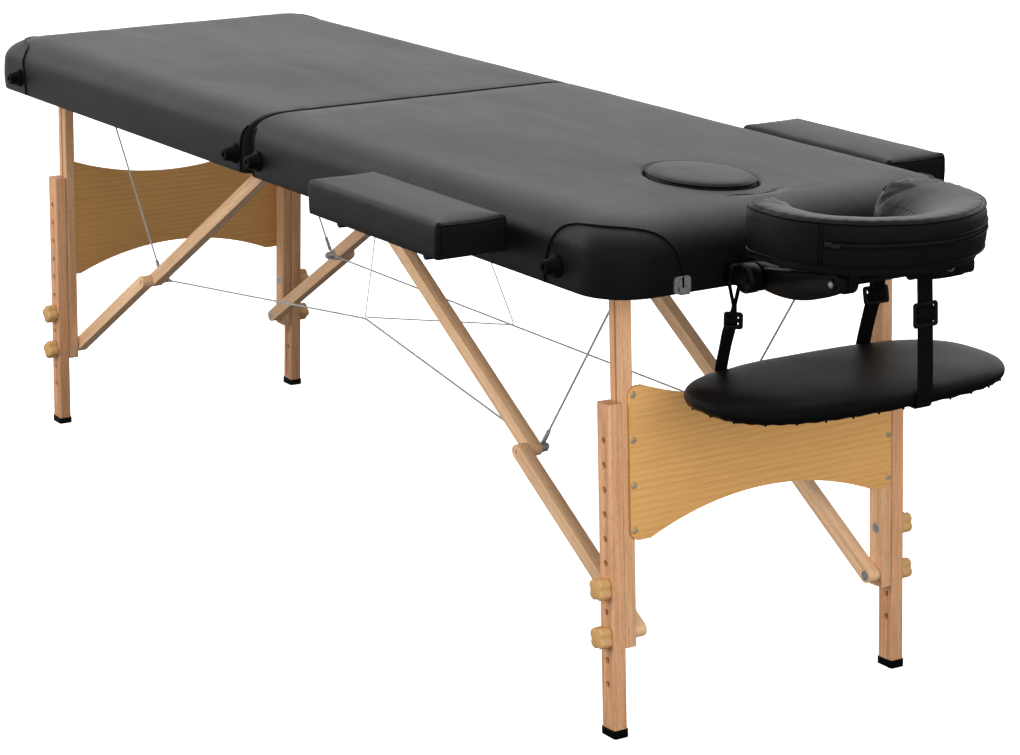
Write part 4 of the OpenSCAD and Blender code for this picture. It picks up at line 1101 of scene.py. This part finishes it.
# %% Headrest, latches and sockets
for node in ("headrest_base", "headrest_arms", "headrest_near_knob", "headrest_far_knob", "cam_lever"):
    finish_node(node, "black_plastic", 1.2*mm, BLACK)
for side, sign in SIDES:
    finish_node(side + "_latch_lever", "steel", 0.4*mm, CHROME)
finish_node("rail_sockets", "steel", 0.4*mm, BLACK)
for side, sign in SIDES:
    finish_node(side + "_armrest_rods", "black_plastic", 0.4*mm, BLACK)
finish_node("cradle_platform", "black_plastic", 1.2*mm, BLACK)
print("headrest, latches and sockets")

# %% [markdown]
# ## Face pillow
#
# A boxed horseshoe: a top panel, a tall side band and a bottom panel meet in piped seams.
# The band is joined by upright seams beside the prongs, and a zip runs round its front.
# Every point of the outline has a partner on the middle line, and rings run between the two.

# %% Pillow outline
pillow_low, pillow_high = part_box("face_pillow")
PILLOW_R = pillow_high.y
PILLOW_ROLL = 45*mm
PILLOW_C = pillow_high.x - MID - PILLOW_R
PILLOW_REAR = pillow_low.x - MID
PILLOW_H = pillow_high.z - pillow_low.z
CAP = 40*mm
CAP_STEPS = 22
MIDLINE = PILLOW_R - PILLOW_ROLL
PRONG_STEPS = 4
FRONT_STEPS = 72


def inner_reach(x):
    """How far the face gap's edge is from the middle: narrow at the prongs, wider round the face."""
    return 44*mm + 6*mm*eased(x, PILLOW_REAR + 20*mm, PILLOW_C)


def cap_points(side):
    """Round end of one prong from its outer side to its inner side."""
    found = []
    for k in range(1, CAP_STEPS):
        turn = math.pi*k/CAP_STEPS
        half = PILLOW_ROLL if k < CAP_STEPS/2 else MIDLINE - inner_reach(PILLOW_REAR + CAP)
        x = -CAP*abs(math.sin(turn))**0.9
        y = half*math.copysign(abs(math.cos(turn))**0.9, math.cos(turn))
        middle = (PILLOW_REAR + CAP, side*MIDLINE)
        found.append(((middle[0] + x, middle[1] + side*y), middle, eased(turn, 1.5, 2.9)))
    return found


def front_point(turn, r):
    """A point of a round front."""
    return PILLOW_C + r*math.cos(turn), r*math.sin(turn)


def pillow_plan():
    """Outline of the pillow as (edge point, partner on the middle line, how far it is an inner side)."""
    straight = [PILLOW_REAR + CAP + (PILLOW_C - PILLOW_REAR - CAP)*k/PRONG_STEPS
                for k in range(PRONG_STEPS)]
    turns = [math.radians(-90 + 180*k/FRONT_STEPS) for k in range(FRONT_STEPS + 1)]
    reach = inner_reach(PILLOW_C)
    outer = [((x, -PILLOW_R), (x, -MIDLINE), 0) for x in straight]
    outer += [(front_point(a, PILLOW_R), front_point(a, MIDLINE), 0) for a in turns]
    outer += [((x, PILLOW_R), (x, MIDLINE), 0) for x in reversed(straight)]
    inner = [((x, inner_reach(x)), (x, MIDLINE), 1) for x in straight]
    inner += [(front_point(a, reach), front_point(a, MIDLINE), 1) for a in reversed(turns)]
    inner += [((x, -inner_reach(x)), (x, -MIDLINE), 1) for x in reversed(straight)]
    return outer + cap_points(1) + inner + list(reversed(cap_points(-1)))


# %% Pillow skin
OUTER_SIDE = [(0, 0.02), (0.6, 0), (0.9, 0.005), (0.965, 0.03), (0.985, 0.07), (1.0, 0.12), (1.018, 0.22),
              (1.026, 0.34), (1.028, 0.46), (1.022, 0.6), (1.008, 0.74), (0.985, 0.85), (0.955, 0.92),
              (0.925, 0.955), (0.86, 0.985), (0.76, 1.0), (0.62, 1.0), (0.46, 0.99), (0.3, 0.975),
              (0.14, 0.955), (0, 0.93)]
INNER_SIDE = [(0, 0.02), (0.6, 0), (0.85, 0.01), (0.95, 0.04), (0.985, 0.08), (1.0, 0.12), (1.0, 0.18),
              (1.0, 0.24), (0.995, 0.3), (0.985, 0.355), (0.965, 0.405), (0.935, 0.455), (0.895, 0.5),
              (0.84, 0.55), (0.77, 0.605), (0.68, 0.665), (0.57, 0.725), (0.44, 0.785), (0.3, 0.84),
              (0.15, 0.89), (0, 0.93)]
SEAM_ROW = 12
SLACK_ROWS = range(5, 20)
plan = pillow_plan()
PLAN_COUNT = len(plan)


def outward(i):
    """Level direction from the middle line to a point of the outline."""
    edge, middle, inner = plan[i % PLAN_COUNT]
    return Vector((edge[0] - middle[0], edge[1] - middle[1], 0)).normalized()


def pillow_point(k, i):
    """A point of the pillow's skin: row k, place i on the outline."""
    edge, middle, inner = plan[i % PLAN_COUNT]
    f = OUTER_SIDE[k][0]*(1 - inner) + INNER_SIDE[k][0]*inner
    z = OUTER_SIDE[k][1]*(1 - inner) + INNER_SIDE[k][1]*inner
    x = middle[0] + (edge[0] - middle[0])*f
    y = middle[1] + (edge[1] - middle[1])*f
    place = Vector((x, y, pillow_low.z + PILLOW_H*z))
    if k in SLACK_ROWS:
        broad = noise.noise(Vector((x*26, y*26, place.z*30)))
        rear = 1 - eased(x, PILLOW_REAR + 20*mm, PILLOW_REAR + 75*mm)
        gathers = math.sin(i*1.9 + 2*noise.noise(Vector((x*30, y*30, 5))))
        near_seam = math.exp(-((k - SEAM_ROW - 2)/2.2)**2)
        place += outward(i)*mm*0.7*broad
        place.z += mm*(0.9*broad + (0.45 + 0.9*rear)*near_seam*gathers)
    return place


pillow_rows = len(OUTER_SIDE)
pillow_points = [pillow_point(k, i) for k in range(pillow_rows) for i in range(PLAN_COUNT)]
pillow = add_piece("face_pillow_cover", pillow_points, bridge(pillow_rows, PLAN_COUNT), SOFT_VINYL)
settle_cover(weld(pillow, gap=0.2*mm), 0.85, "cradle", "face_pillow")


# %% Pillow seams and zip
def band_point(angle, height, proud=0.0):
    """A point on the outer band, at an angle round the front and a share of the height."""
    steps = (math.degrees(angle) + 90)/180*FRONT_STEPS
    i = int(math.floor(steps)) + PRONG_STEPS
    k = max(n for n in range(SEAM_ROW + 1) if OUTER_SIDE[n][1] <= height)
    k = min(max(k, 1), SEAM_ROW - 1)
    t = (height - OUTER_SIDE[k][1])/(OUTER_SIDE[k + 1][1] - OUTER_SIDE[k][1])
    s = steps - math.floor(steps)
    low = pillow_point(k, i).lerp(pillow_point(k, i + 1), s)
    high = pillow_point(k + 1, i).lerp(pillow_point(k + 1, i + 1), s)
    out = Vector((math.cos(angle), math.sin(angle), 0))
    return low.lerp(high, t) + out*proud, out


def pillow_loop(row, lift, outside=False):
    """A line round the pillow along one row of its skin, or only round its outside."""
    path = []
    order = list(range(PLAN_COUNT))
    if outside:
        inside = [i for i in order if plan[i][2] > 0.3]
        order = list(range(inside[-1] + 1, PLAN_COUNT)) + list(range(inside[0]))
    for i in order:
        path.append(pillow_point(row, i) + outward(i)*lift)
    return path


pipe_along("pillow_top_seam", pillow_loop(SEAM_ROW, 0.5*mm, True), 1.5*mm, "cradle")
pipe_along("pillow_low_seam", pillow_loop(3, 0.5*mm), 1.3*mm, "cradle", closed=True)

ZIP_END = math.radians(58)
ZIP_LOW = 0.43
ZIP_HIGH = 0.585
ZIP_MIDDLE = (ZIP_LOW + ZIP_HIGH)/2


def zip_line(height, steps, proud):
    return [band_point(-ZIP_END + 2*ZIP_END*k/steps, height, proud) for k in range(steps + 1)]


for label, side in SIDES:
    for gap in (0.0, 0.03):
        path = [band_point(side*(ZIP_END + gap), 0.06 + 0.85*k/16, 0.1*mm)[0] for k in range(17)]
        pipe_along(f"pillow_{label}_upright_{gap > 0}", path, 1.1*mm, "cradle")
for height, label in ((ZIP_LOW, "lower"), (ZIP_HIGH, "upper")):
    path = [p for p, n in zip_line(height, 80, 0.4*mm)]
    pipe_along(f"zip_{label}_lip", path, 1.1*mm, "cradle")
zip_path = zip_line(ZIP_MIDDLE, 120, 0.25*mm)
bead_row("zip_teeth", [zip_path], 1.9*mm, (1.3, 4.0, 1.6), ZIP, "cradle", "black_plastic")
tape = strap("zip_tape", [p - 0.1*mm*n for p, n in zip_path], UP, 8.6*mm, 0.7*mm, WEBBING)
settle(tape, "cradle", "webbing")
stitch_paths = []
for row in (SEAM_ROW + 2, SEAM_ROW - 2):
    loop = pillow_loop(row, 0.2*mm)
    outs = [(loop[i] - Vector((*plan[i][1], loop[i].z - 20*mm))).normalized() for i in range(PLAN_COUNT)]
    stitch_paths.append(list(zip(loop, outs)) + [(loop[0], outs[0])])
bead_row("pillow_stitches", stitch_paths, STITCH_STEP, STITCH, THREAD, "cradle", "vinyl")


# %% Zip slider
BLOCK_EDGE = 0.6*mm


def block(name, centre, across, along, out, size, material):
    """A small block with rounded edges, set by three directions."""
    axes = [Vector(v).normalized()*s for v, s in zip((across, along, out), size)]
    ends = (-0.5, 0.5)
    points = [Vector(centre) + a*axes[0] + b*axes[1] + c*axes[2] for a in ends for b in ends for c in ends]
    faces = [(0, 1, 3, 2), (4, 6, 7, 5), (0, 4, 5, 1), (2, 3, 7, 6), (0, 2, 6, 4), (1, 5, 7, 3)]
    made = add_piece(name, points, faces, material)
    bm = bmesh.new()
    bm.from_mesh(made.data)
    bmesh.ops.recalc_face_normals(bm, faces=bm.faces)
    bmesh.ops.bevel(bm, geom=bm.edges, offset=BLOCK_EDGE, segments=2, profile=0.5, affect="EDGES")
    for face in bm.faces:
        face.smooth = True
    bm.to_mesh(made.data)
    bm.free()
    made.data.set_sharp_from_angle(angle=math.radians(50))
    return made


pull_at, pull_out = band_point(-ZIP_END + 0.055, ZIP_MIDDLE, 1.2*mm)
pull_along = pull_out.cross(UP)
pull = block("zip_slider", pull_at, pull_along, UP, pull_out, (9*mm, 6*mm, 2.6*mm), ZIP)
settle(pull, "cradle", "steel")
tab_at, tab_out = band_point(-ZIP_END + 0.115, ZIP_MIDDLE - 0.03, 1.8*mm)
tab = block("zip_tab", tab_at, pull_along, UP, tab_out, (11*mm, 4.4*mm, 1.2*mm), ZIP)
settle(tab, "cradle", "steel")

# %% [markdown]
# ## Face plug
#
# An oval bolster that fills the face hole and stands a little proud. Piping runs round its top edge and again
# just below it.

# %% Plug
PLUG_TOP = plug_high.z
PLUG_STEPS = 96
plug_levels = [(-3, DECK_Z + 0.4*mm), (-0.8, DECK_Z + 4*mm), (0, TOP_Z - 20*mm), (0.3, TOP_Z - 8*mm)]
plug_levels += [(grow, PLUG_TOP - fall*mm) for grow, fall in (
    (0, 9), (-1.5, 5.5), (-4.5, 3), (-10, 1.6), (-20, 0.8), (-36, 0.3), (-52, 0))]


def plug_ring(grow, z):
    a, b = PLUG_A + grow, PLUG_B + grow
    return [(PLUG_X + a*math.cos(turn), b*math.sin(turn), z) for turn in circle(PLUG_STEPS)]


plug_points = []
for grow, z in plug_levels:
    for i, (x, y, h) in enumerate(plug_ring(grow*mm, z)):
        pucker = 0.5*mm*math.sin(i*2.4)*math.exp(-((grow + 6)/5)**2)
        plug_points.append((x, y, h + pucker + 0.4*mm*noise.noise(Vector((x*30, y*30, 2)))))
plug = loft("face_plug_cover", plug_points, PLUG_STEPS, VINYL)
settle_cover(plug, 0.9, "face_plug", "face_plug")
for label, grow, fall, radius in (("top", -1.2, 5.6, 1.6), ("low", -0.4, 13, 1.2)):
    path = plug_ring(grow*mm, PLUG_TOP - fall*mm)
    pipe_along(f"plug_{label}_piping", path, radius*mm, "face_plug", closed=True)

# %% [markdown]
# ## Armrests
#
# Foam pads in boxed covers. The end panels are sewn in with piping, the top corners are pinched into small
# ears, and the cover is stapled under the board.

# %% Armrest pads
ARM_CORNER = 6*mm
ARM_STEPS = 6
ARM_LONG, ARM_SHORT = 40, 14


def arm_plan(cx, cy, length, width, inset):
    """A rounded rectangle from its near right corner, anticlockwise."""
    r = max(ARM_CORNER - inset, 0.5*mm)
    x1, y1 = length/2 - inset - r, width/2 - inset - r
    corners = [(cx + x1, cy - y1, r, -90, ARM_SHORT), (cx + x1, cy + y1, r, 0, ARM_LONG),
               (cx - x1, cy + y1, r, 90, ARM_SHORT), (cx - x1, cy - y1, r, 180, ARM_LONG)]
    return rounded_loop(corners, ARM_STEPS)


ARM_LEVELS = [(10, -6.8), (3, -6.8), (0.6, -6), (-0.3, -4), (-0.8, 6), (-1.0, 16), (-1.0, 24), (-0.6, 31),
              (0.2, 36), (1.6, 39), (3.8, 41), (7, 42.4), (12, 43.3), (20, 44.2), (32, 45.2), (44, 45.8),
              (54, 46)]
ARM_TALL = 46*mm
ARM_WIDE = 114
EAR = 9*mm


def make_armrest(side, sign):
    low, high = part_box(side + "_armrest")
    cx, cy = (low.x + high.x)/2 - MID, (low.y + high.y)/2
    length, width = high.x - low.x, high.y - low.y
    tall = (high.z - low.z)/ARM_TALL
    points = []
    for inset, rise in ARM_LEVELS:
        ring = arm_plan(cx, cy, length, width, inset*width/ARM_WIDE)
        for x, y in ring:
            u = abs(x - cx)/(length/2)
            v = abs(y - cy)/(width/2)
            ear = math.exp(-((1 - u)*length/2/EAR)**2 - ((1 - v)*width/2/EAR)**2)*eased(rise, 30, 41)
            sag = 0.8*mm*eased(u, 0.86, 1.0)*(1 - v*v)*eased(rise, 34, 43)
            soft = noise.noise(Vector((x*22, y*30, rise*0.09 + sign)))*eased(rise, 2, 12)
            z = low.z + rise*mm*tall + (3.4 if x > cx else 0.6)*mm*ear - sag + 0.5*mm*soft
            out = sign*0.7*mm*soft*eased(v, 0.85, 1.0)
            points.append((x, y + out, z))
    body = side + "_armrest"
    settle_cover(loft(body + "_cover", points, len(ring), VINYL), 0.9, body, body)
    for end in (-1, 1):
        x = cx + end*(length/2 + 0.3*mm)
        edge = width/2 - 5*mm
        top = low.z + 38.5*mm*tall
        rim = [(0.8, edge - 1.5*mm, 0), (1.2, edge/2, 0.8)]
        up = [(x, cy - edge, low.z + rise*mm) for rise in (1, 14, 28)]
        path = up + [(x - end*back*mm, cy - y, top - dip*mm) for back, y, dip in rim]
        path += [(x - end*1.2*mm, cy, top - 1.2*mm)]
        path += [(x - end*back*mm, cy + y, top - dip*mm) for back, y, dip in reversed(rim)]
        path += [(x, cy + edge, z) for x, y, z in reversed(up)]
        label = "head" if end > 0 else "foot"
        pipe_along(f"{body}_seam_{label}", smooth_path(path, 5), 1.3*mm, body, sides=8)
    loop = arm_plan(cx, cy, length, width, 7*mm)
    staple_row(body + "_staples", loop, low.z - 7.2*mm, 34*mm, (10, 1.3, 1.0), body)


for side, sign in SIDES:
    make_armrest(side, sign)

# %% [markdown]
# ## Hanging shelf
#
# A thin board under soft foam. The vinyl is pulled down over the edge and stapled underneath, so small
# gathers show along the lower edge, and the straps press dents into the rim.

# %% Shelf
shelf_low, shelf_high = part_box("sling_shelf")
SHELF_X = (shelf_low.x + shelf_high.x)/2 - MID
SHELF_A = (shelf_high.x - shelf_low.x)/2
SHELF_B = shelf_high.y
SHELF_ROUND = 2.8
SHELF_H = shelf_high.z - shelf_low.z
SHELF_STEPS = 168
FRONT_STRAP_Y = 30*mm
REAR_STRAP_Y = 115*mm
DENT = 17*mm
SHELF_LEVELS = [(24, 0.02), (12, 0.0), (6, 0.02), (3, 0.08), (1, 0.18), (0, 0.32), (0.2, 0.45), (1.6, 0.57),
                (4.5, 0.68), (9, 0.77), (16, 0.85), (26, 0.92), (40, 0.965), (58, 0.99), (80, 1.0), (96, 1.0),
                (108, 1.0)]


def shelf_edge(turn, inset):
    a, b = SHELF_A - inset, SHELF_B - inset
    c, s = math.cos(turn), math.sin(turn)
    x = a*math.copysign(abs(c)**(2/SHELF_ROUND), c)
    y = b*math.copysign(abs(s)**(2/SHELF_ROUND), s)
    return SHELF_X + x, y


def dent(x, y):
    """How deep a strap presses into the rim."""
    if x > SHELF_X:
        return math.exp(-((y - FRONT_STRAP_Y)/DENT)**2)
    return 0.6*math.exp(-((abs(y) - REAR_STRAP_Y)/DENT)**2)


shelf_points = []
for inset, share in SHELF_LEVELS:
    for i in range(SHELF_STEPS):
        x, y = shelf_edge(2*math.pi*i/SHELF_STEPS, inset*mm)
        fade = math.exp(-inset/14)
        press = 3.5*mm*dent(x, y)*fade
        gather = 0.9*mm*math.sin(i*2*math.pi/4)*math.exp(-((share - 0.1)/0.12)**2) if inset < 7 else 0
        soft = noise.noise(Vector((x*16, y*16, share)))
        x -= math.copysign(press, x - SHELF_X)
        z = shelf_low.z + SHELF_H*share + gather - 0.6*press*share + 0.6*mm*soft*share
        shelf_points.append((x, y, z))
# The shelf wears the darker copy of the vinyl, a painted shade.
shelf = loft("sling_shelf_cover", shelf_points, SHELF_STEPS, SHADED_SHELF_VINYL)
settle_cover(shelf, 0.8, "sling", "sling_shelf")
rim = [(Vector((*shelf_edge(2*math.pi*i/SHELF_STEPS, 3.5*mm), shelf_low.z + 1.2*mm)), DOWN)
       for i in range(SHELF_STEPS + 1)]
bead_row("shelf_gathers", [rim], 38*mm, (3.4, 3.4, 3.4), PIPING, "sling", "vinyl")

# %% [markdown]
# ## Shelf straps
#
# Webbing hangs the shelf from the cradle: two straps looped round the posts at the back and one from the
# cross rod in front. Each goes through a slider buckle, round the rim and under the board.

# %% Slider buckle
WEB = 25*mm
WEB_T = 1.6*mm


def buckle(name, centre, across, along, width, height):
    """A slider: a flat rounded frame with a bar across its middle."""
    across, along = Vector(across).normalized(), Vector(along).normalized()
    centre = Vector(centre)
    r = 3*mm
    u, v = width/2 - r, height/2 - r
    corners = [(u, -v, r, -90, 1), (u, v, r, 0, 1), (-u, v, r, 90, 1), (-u, -v, r, 180, 1)]
    path = [centre + a*across + b*along for a, b in rounded_loop(corners, 4)]
    out = across.cross(along)
    sides = 8
    points = []
    for place in path:
        inward = (centre - place).normalized()
        points += [place + 3.4*mm*math.cos(a)*inward + 2.4*mm*math.sin(a)*out for a in circle(sides)]
    points += points[:sides]
    frame_piece = weld(add_piece(name, points, bridge(len(path) + 1, sides), BLACK))
    bar = [centre + across*(width/2 - 1*mm)*t for t in (-1, 0, 1)]
    bar_piece = tube(name + "_bar", bar, 2.8*mm, BLACK, 8)
    hump = [(-0.4, -1.5), (-0.24, 1.6), (0, 3.6), (0.24, 1.6), (0.4, -1.5)]
    laced = smooth_path([centre + along*height*a + out*n*mm for a, n in hump], 5)
    web = strap(name + "_webbing", laced, across, width - 7*mm, WEB_T, WEBBING)
    settle(frame_piece, "sling", "black_plastic")
    settle(bar_piece, "sling", "black_plastic")
    settle(web, "sling", "webbing")


# %% Straps
POST_Z = 0.618
LOOP_AT = 936.6*mm
LOOP_R = 11.6*mm
HANG = 46*mm
KNOT_Z = POST_Z - HANG
THIN = 9*mm
ROD_X, ROD_Z = 1117*mm, 638*mm


def rim_path(edge, inward):
    """Down over the rim at x = edge and under the board."""
    low = shelf_low.z
    return [(edge, shelf_high.z - 6*mm), (edge + 0.4*inward*mm, low + 8*mm),
            (edge + 3*inward*mm, low - 1.2*mm), (edge + 14*inward*mm, low - 1.8*mm),
            (edge + 60*inward*mm, low - 1.8*mm)]


def rear_strap(label, sign):
    y = sign*REAR_STRAP_Y
    loop = [(LOOP_AT, y, KNOT_Z)]
    lean = math.asin(LOOP_R/HANG)
    for k in range(15):
        a = -lean + (math.pi + 2*lean)*k/14
        loop.append((LOOP_AT, y + LOOP_R*math.cos(a), POST_Z + LOOP_R*math.sin(a)))
    loop.append((LOOP_AT, y, KNOT_Z))
    made = settle(strap(f"{label}_strap_loop", loop, (1, 0, 0), 8*mm, 1.4*mm, WEBBING), "sling", "webbing")
    if label == "near":
        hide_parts("sling_straps")
    edge = shelf_edge(math.pi - math.asin((REAR_STRAP_Y/SHELF_B)**(SHELF_ROUND/2)), 0)[0] - 1.5*mm
    down = [(LOOP_AT, KNOT_Z + 10*mm), (LOOP_AT - 1*mm, KNOT_Z - 6*mm),
            ((LOOP_AT + edge)/2, (KNOT_Z + shelf_high.z)/2)]
    path = smooth_path([(x, y, z) for x, z in down + rim_path(edge, 1)], 8)
    start, full = (1.0, 20*mm) if label == "near" else (0.15, WEB)
    sides, widths = [], []
    for p in path:
        turn = eased(KNOT_Z + 8*mm - p.z, 0, 60*mm)*start + (1 - start)
        sides.append((math.cos(turn*math.pi/2), math.sin(turn*math.pi/2), 0))
        widths.append(THIN + (full - THIN)*max(turn, 0.05))
    settle(twisted_strap(f"{label}_strap", path, sides, widths, WEB_T, WEBBING), "sling", "webbing")
    if label == "near":
        buckle("near_slider", (LOOP_AT - 1*mm, y, KNOT_Z - 16*mm), (1, 0.9, 0), (0, 0, 1), 19*mm, 17*mm)
    else:
        buckle("far_slider", (LOOP_AT - 2*mm, y, KNOT_Z - 14*mm), (0.1, 1, 0), (-0.2, 0, 1), 33*mm, 20*mm)


for label, sign in SIDES:
    rear_strap(label, sign)
front_edge = shelf_edge(math.asin((FRONT_STRAP_Y/SHELF_B)**(SHELF_ROUND/2)), 0)[0] + 0.5*mm
wrap = [(-6.5, -8), (-7.2, 0), (0, 7.2), (7.2, 0), (8, -12)]
wrap = [(ROD_X + x*mm, ROD_Z + z*mm) for x, z in wrap]
wrap.append(((ROD_X + front_edge)/2 + 4*mm, (ROD_Z + shelf_high.z)/2))
front_path = smooth_path([(x, FRONT_STRAP_Y, z) for x, z in wrap + rim_path(front_edge, -1)], 8)
settle(strap("front_strap", front_path, FAR, WEB, WEB_T, WEBBING), "sling", "webbing")
slope = (Vector((ROD_X + 8*mm, 0, ROD_Z - 12*mm)) - Vector((front_edge, 0, shelf_high.z))).normalized()
front_at = Vector((ROD_X + 9*mm, FRONT_STRAP_Y, ROD_Z - 12*mm)) - slope*41*mm
buckle("front_slider", front_at, FAR, slope, 33*mm, 27*mm)
print("straps and sliders")

# %% [markdown]
# ## Cables and elastic
#
# Steel cables hold the legs apart. A stay runs from each end of the frame to a knuckle, and a long run
# joins the knuckles of both ends. An elastic lifts the near run.

# %% Cables
CABLE = 3.0*mm
CORD_STEP = 20*mm
eye_low, eye_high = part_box("head_knuckle_eyes")
WASHER = 9*mm
KNUCKLE_X = eye_high.x - MID - WASHER
KNUCKLE_Z = eye_low.z + WASHER
EYE_Y = 163.3*mm
ANCHOR = (780*mm, 161.3*mm, 598*mm)
LIFT = (8*mm, -108*mm, 357*mm)


def spaced(a, b):
    """Even points on a straight line."""
    a, b = Vector(a), Vector(b)
    count = max(2, int((b - a).length/CORD_STEP))
    return [a.lerp(b, k/count) for k in range(count + 1)]


def cable(name, path):
    """A wire along its path."""
    made = tube(name, path, CABLE/2, WIRE, 8)
    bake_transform(made)
    return made


for side, sign in SIDES:
    lift = Vector(LIFT) if sign < 0 else Vector((LIFT[0], EYE_Y, KNUCKLE_Z))
    for end, way in ENDS:
        anchor = Vector((way*ANCHOR[0], sign*ANCHOR[1], ANCHOR[2]))
        knot = Vector((way*KNUCKLE_X, sign*EYE_Y, KNUCKLE_Z))
        half, brace = end + "_half", end + "_upper_brace"
        cable(f"{end}_{side}_stay", spaced(anchor, knot))
        for kind, far, steps, r in (("stay", anchor, (10, 22, 34), 3), ("run", lift, (10, 18, 26), 2.6)):
            toward = (far - knot).normalized()
            sleeve = tube(f"{end}_{side}_{kind}_sleeve", [knot + toward*d*mm for d in steps], r*mm, STEEL)
            settle(sleeve, brace, "steel")
        if end == "foot":
            cable(f"{side}_foot_run", spaced(lift, knot))
        else:
            join = lift.lerp(knot, 0.34)
            cable(f"{side}_middle_run", spaced(lift, join))
            cable(f"{side}_head_run", spaced(join, knot))
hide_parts("suspension_cords")

# %% Elastic
HOOK = (-13.5*mm, 58.5*mm, 593*mm)
elastic_path = []
elastic_stops = [(HOOK[0], -HOOK[1], HOOK[2]),
                 (LIFT[0], LIFT[1], LIFT[2] + 3*mm), (LIFT[0], LIFT[1] + 6*mm, LIFT[2] + 1*mm),
                 (LIFT[0], EYE_Y - 6*mm, KNUCKLE_Z + 3*mm), (LIFT[0], EYE_Y - 3*mm, KNUCKLE_Z + 6*mm), HOOK]
for a, b in zip(elastic_stops, elastic_stops[1:]):
    elastic_path += spaced(a, b)[:-1]
elastic_path.append(Vector(HOOK))
elastic = tube("elastic", elastic_path, 1.1*mm, WHITE_CORD, 8)
settle(elastic, "foot_half", "webbing")

# %% [markdown]
# ## Carry handles, screws and rivets
#
# A webbing handle is screwed to the far side of each half. The end panels and the handles are held by
# cross-headed screws, and rivets join the cradle's arms.

# %% Handles
for end, way in ENDS:
    low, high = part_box(end + "_handle")
    middle = (low.x + high.x)/2 - MID
    reach = (high.x - low.x)/2
    z = (low.z + high.z)/2
    wall = low.y + 1.4*mm
    half = [(-1, wall), (-0.84, wall), (-0.68, wall + 0.6*mm), (-0.55, wall + 7*mm), (-0.3, high.y - 6*mm)]
    stops = half + [(0, high.y - 1.5*mm)] + [(-t, y) for t, y in reversed(half)]
    path = smooth_path([(middle + reach*t, y, z) for t, y in stops], 6)
    handle = strap(end + "_carry_handle", path, UP, high.z - low.z, 2.4*mm, WEBBING)
    settle(handle, end + "_half", "webbing", end + "_handle")
    rows = []
    for t in (-0.97, -0.72, 0.72, 0.97):
        ends = [Vector((middle + reach*t, wall + 1.3*mm, z + (high.z - low.z)*s)) for s in (-0.42, 0.42)]
        rows.append([(p, FAR) for p in ends])
    bead_row(end + "_handle_stitches", rows, 3.2*mm, (2.4, 0.9, 0.8), THREAD, end + "_half", "webbing")


# %% Screw head
def screw_head(radius, height, slots=True):
    """A domed head with a cross recess, standing on the origin and pointing along Z."""
    around, rings = 40, 12
    points = []
    for k in range(rings + 1):
        r = radius*k/rings
        for a in circle(around):
            x, y = r*math.cos(a), r*math.sin(a)
            z = height*(1 - (r/radius)**2.4)
            if slots:
                bar = 1 - eased(min(abs(x), abs(y)), 0.11*radius, 0.19*radius)
                bar *= 1 - eased(r, 0.5*radius, 0.62*radius)
                z -= 0.75*height*bar
            points.append((x, y, z))
    made = new_object("screw_head", plain_mesh("screw_head", points, bridge(rings + 1, around)))
    return weld(made, gap=1e-5)


def cross_recess(reach, half, height):
    """A dark cross of painted shade that lies in a screw's recess."""
    corners = [(half, half), (half, reach), (-half, reach), (-half, half), (-reach, half), (-reach, -half),
               (-half, -half), (-half, -reach), (half, -reach), (half, -half), (reach, -half), (reach, half)]
    points = [(x, y, z) for z in (0.4*mm, height) for x, y in corners]
    return weld(new_object("cross_recess", plain_mesh("cross_recess", points, capped(2, 12))))


def solid_boxes(node):
    """The box of each separate solid in a frame piece."""
    bm = bmesh.new()
    bm.from_mesh(frame["nodes"][node].data)
    bmesh.ops.remove_doubles(bm, verts=bm.verts, dist=2e-6)
    boxes = [box_of(solid) for solid in separate_solids(bm)]
    bm.free()
    return boxes


# %% Screws and rivets
cross_head = screw_head(5.0*mm, 2.8*mm)
recess = cross_recess(2.9*mm, 0.95*mm, 1.9*mm)
for end, way in ENDS:
    spots = []
    for low, high in solid_boxes(end + "_leg_fasteners"):
        if max(high - low) < 14*mm:
            middle = (low + high)/2
            base = low.x if way > 0 else high.x
            spots.append((Vector((base - MID + way*0.3*mm, middle.y, middle.z)), Vector((way, 0, 0))))
    set_heads(end + "_panel_screws", spots, cross_head, BRASS, end + "_legs")
    # Painted shade: a dark cross sits in each panel screw's recess.
    set_heads(end + "_screw_recesses", spots, recess, ZIP, end + "_legs")
    print(end, "panel screws", len(spots))
    low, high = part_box(end + "_handle")
    z = (low.z + high.z)/2
    spots = [(Vector((x - MID, low.y + 2.4*mm, z)), FAR) for x in (low.x + 13*mm, high.x - 13*mm)]
    set_heads(end + "_handle_screws", spots, cross_head, CHROME, end + "_half")
bpy.data.objects.remove(cross_head)
bpy.data.objects.remove(recess)
rivet = screw_head(4.4*mm, 2.2*mm, slots=False)
ARM_OUT, LUG_IN = 110.5*mm, 78*mm
spots = [(Vector((ROD_X, sign*ARM_OUT, ROD_Z)), Vector((0, sign, 0))) for sign in (-1, 1)]
set_heads("arm_rivets", spots, rivet, CHROME, "headrest_arms")
for label, sign in SIDES:
    y = sign*(LUG_IN - 1*mm)
    ring = [(ROD_X + 6.6*mm*math.cos(a), y, ROD_Z + 6.6*mm*math.sin(a)) for a in circle(28)]
    settle(tube(label + "_lug_washer", ring, 1.6*mm, CHROME, 8, closed=True), "headrest_arms", "steel")
bpy.data.objects.remove(rivet)
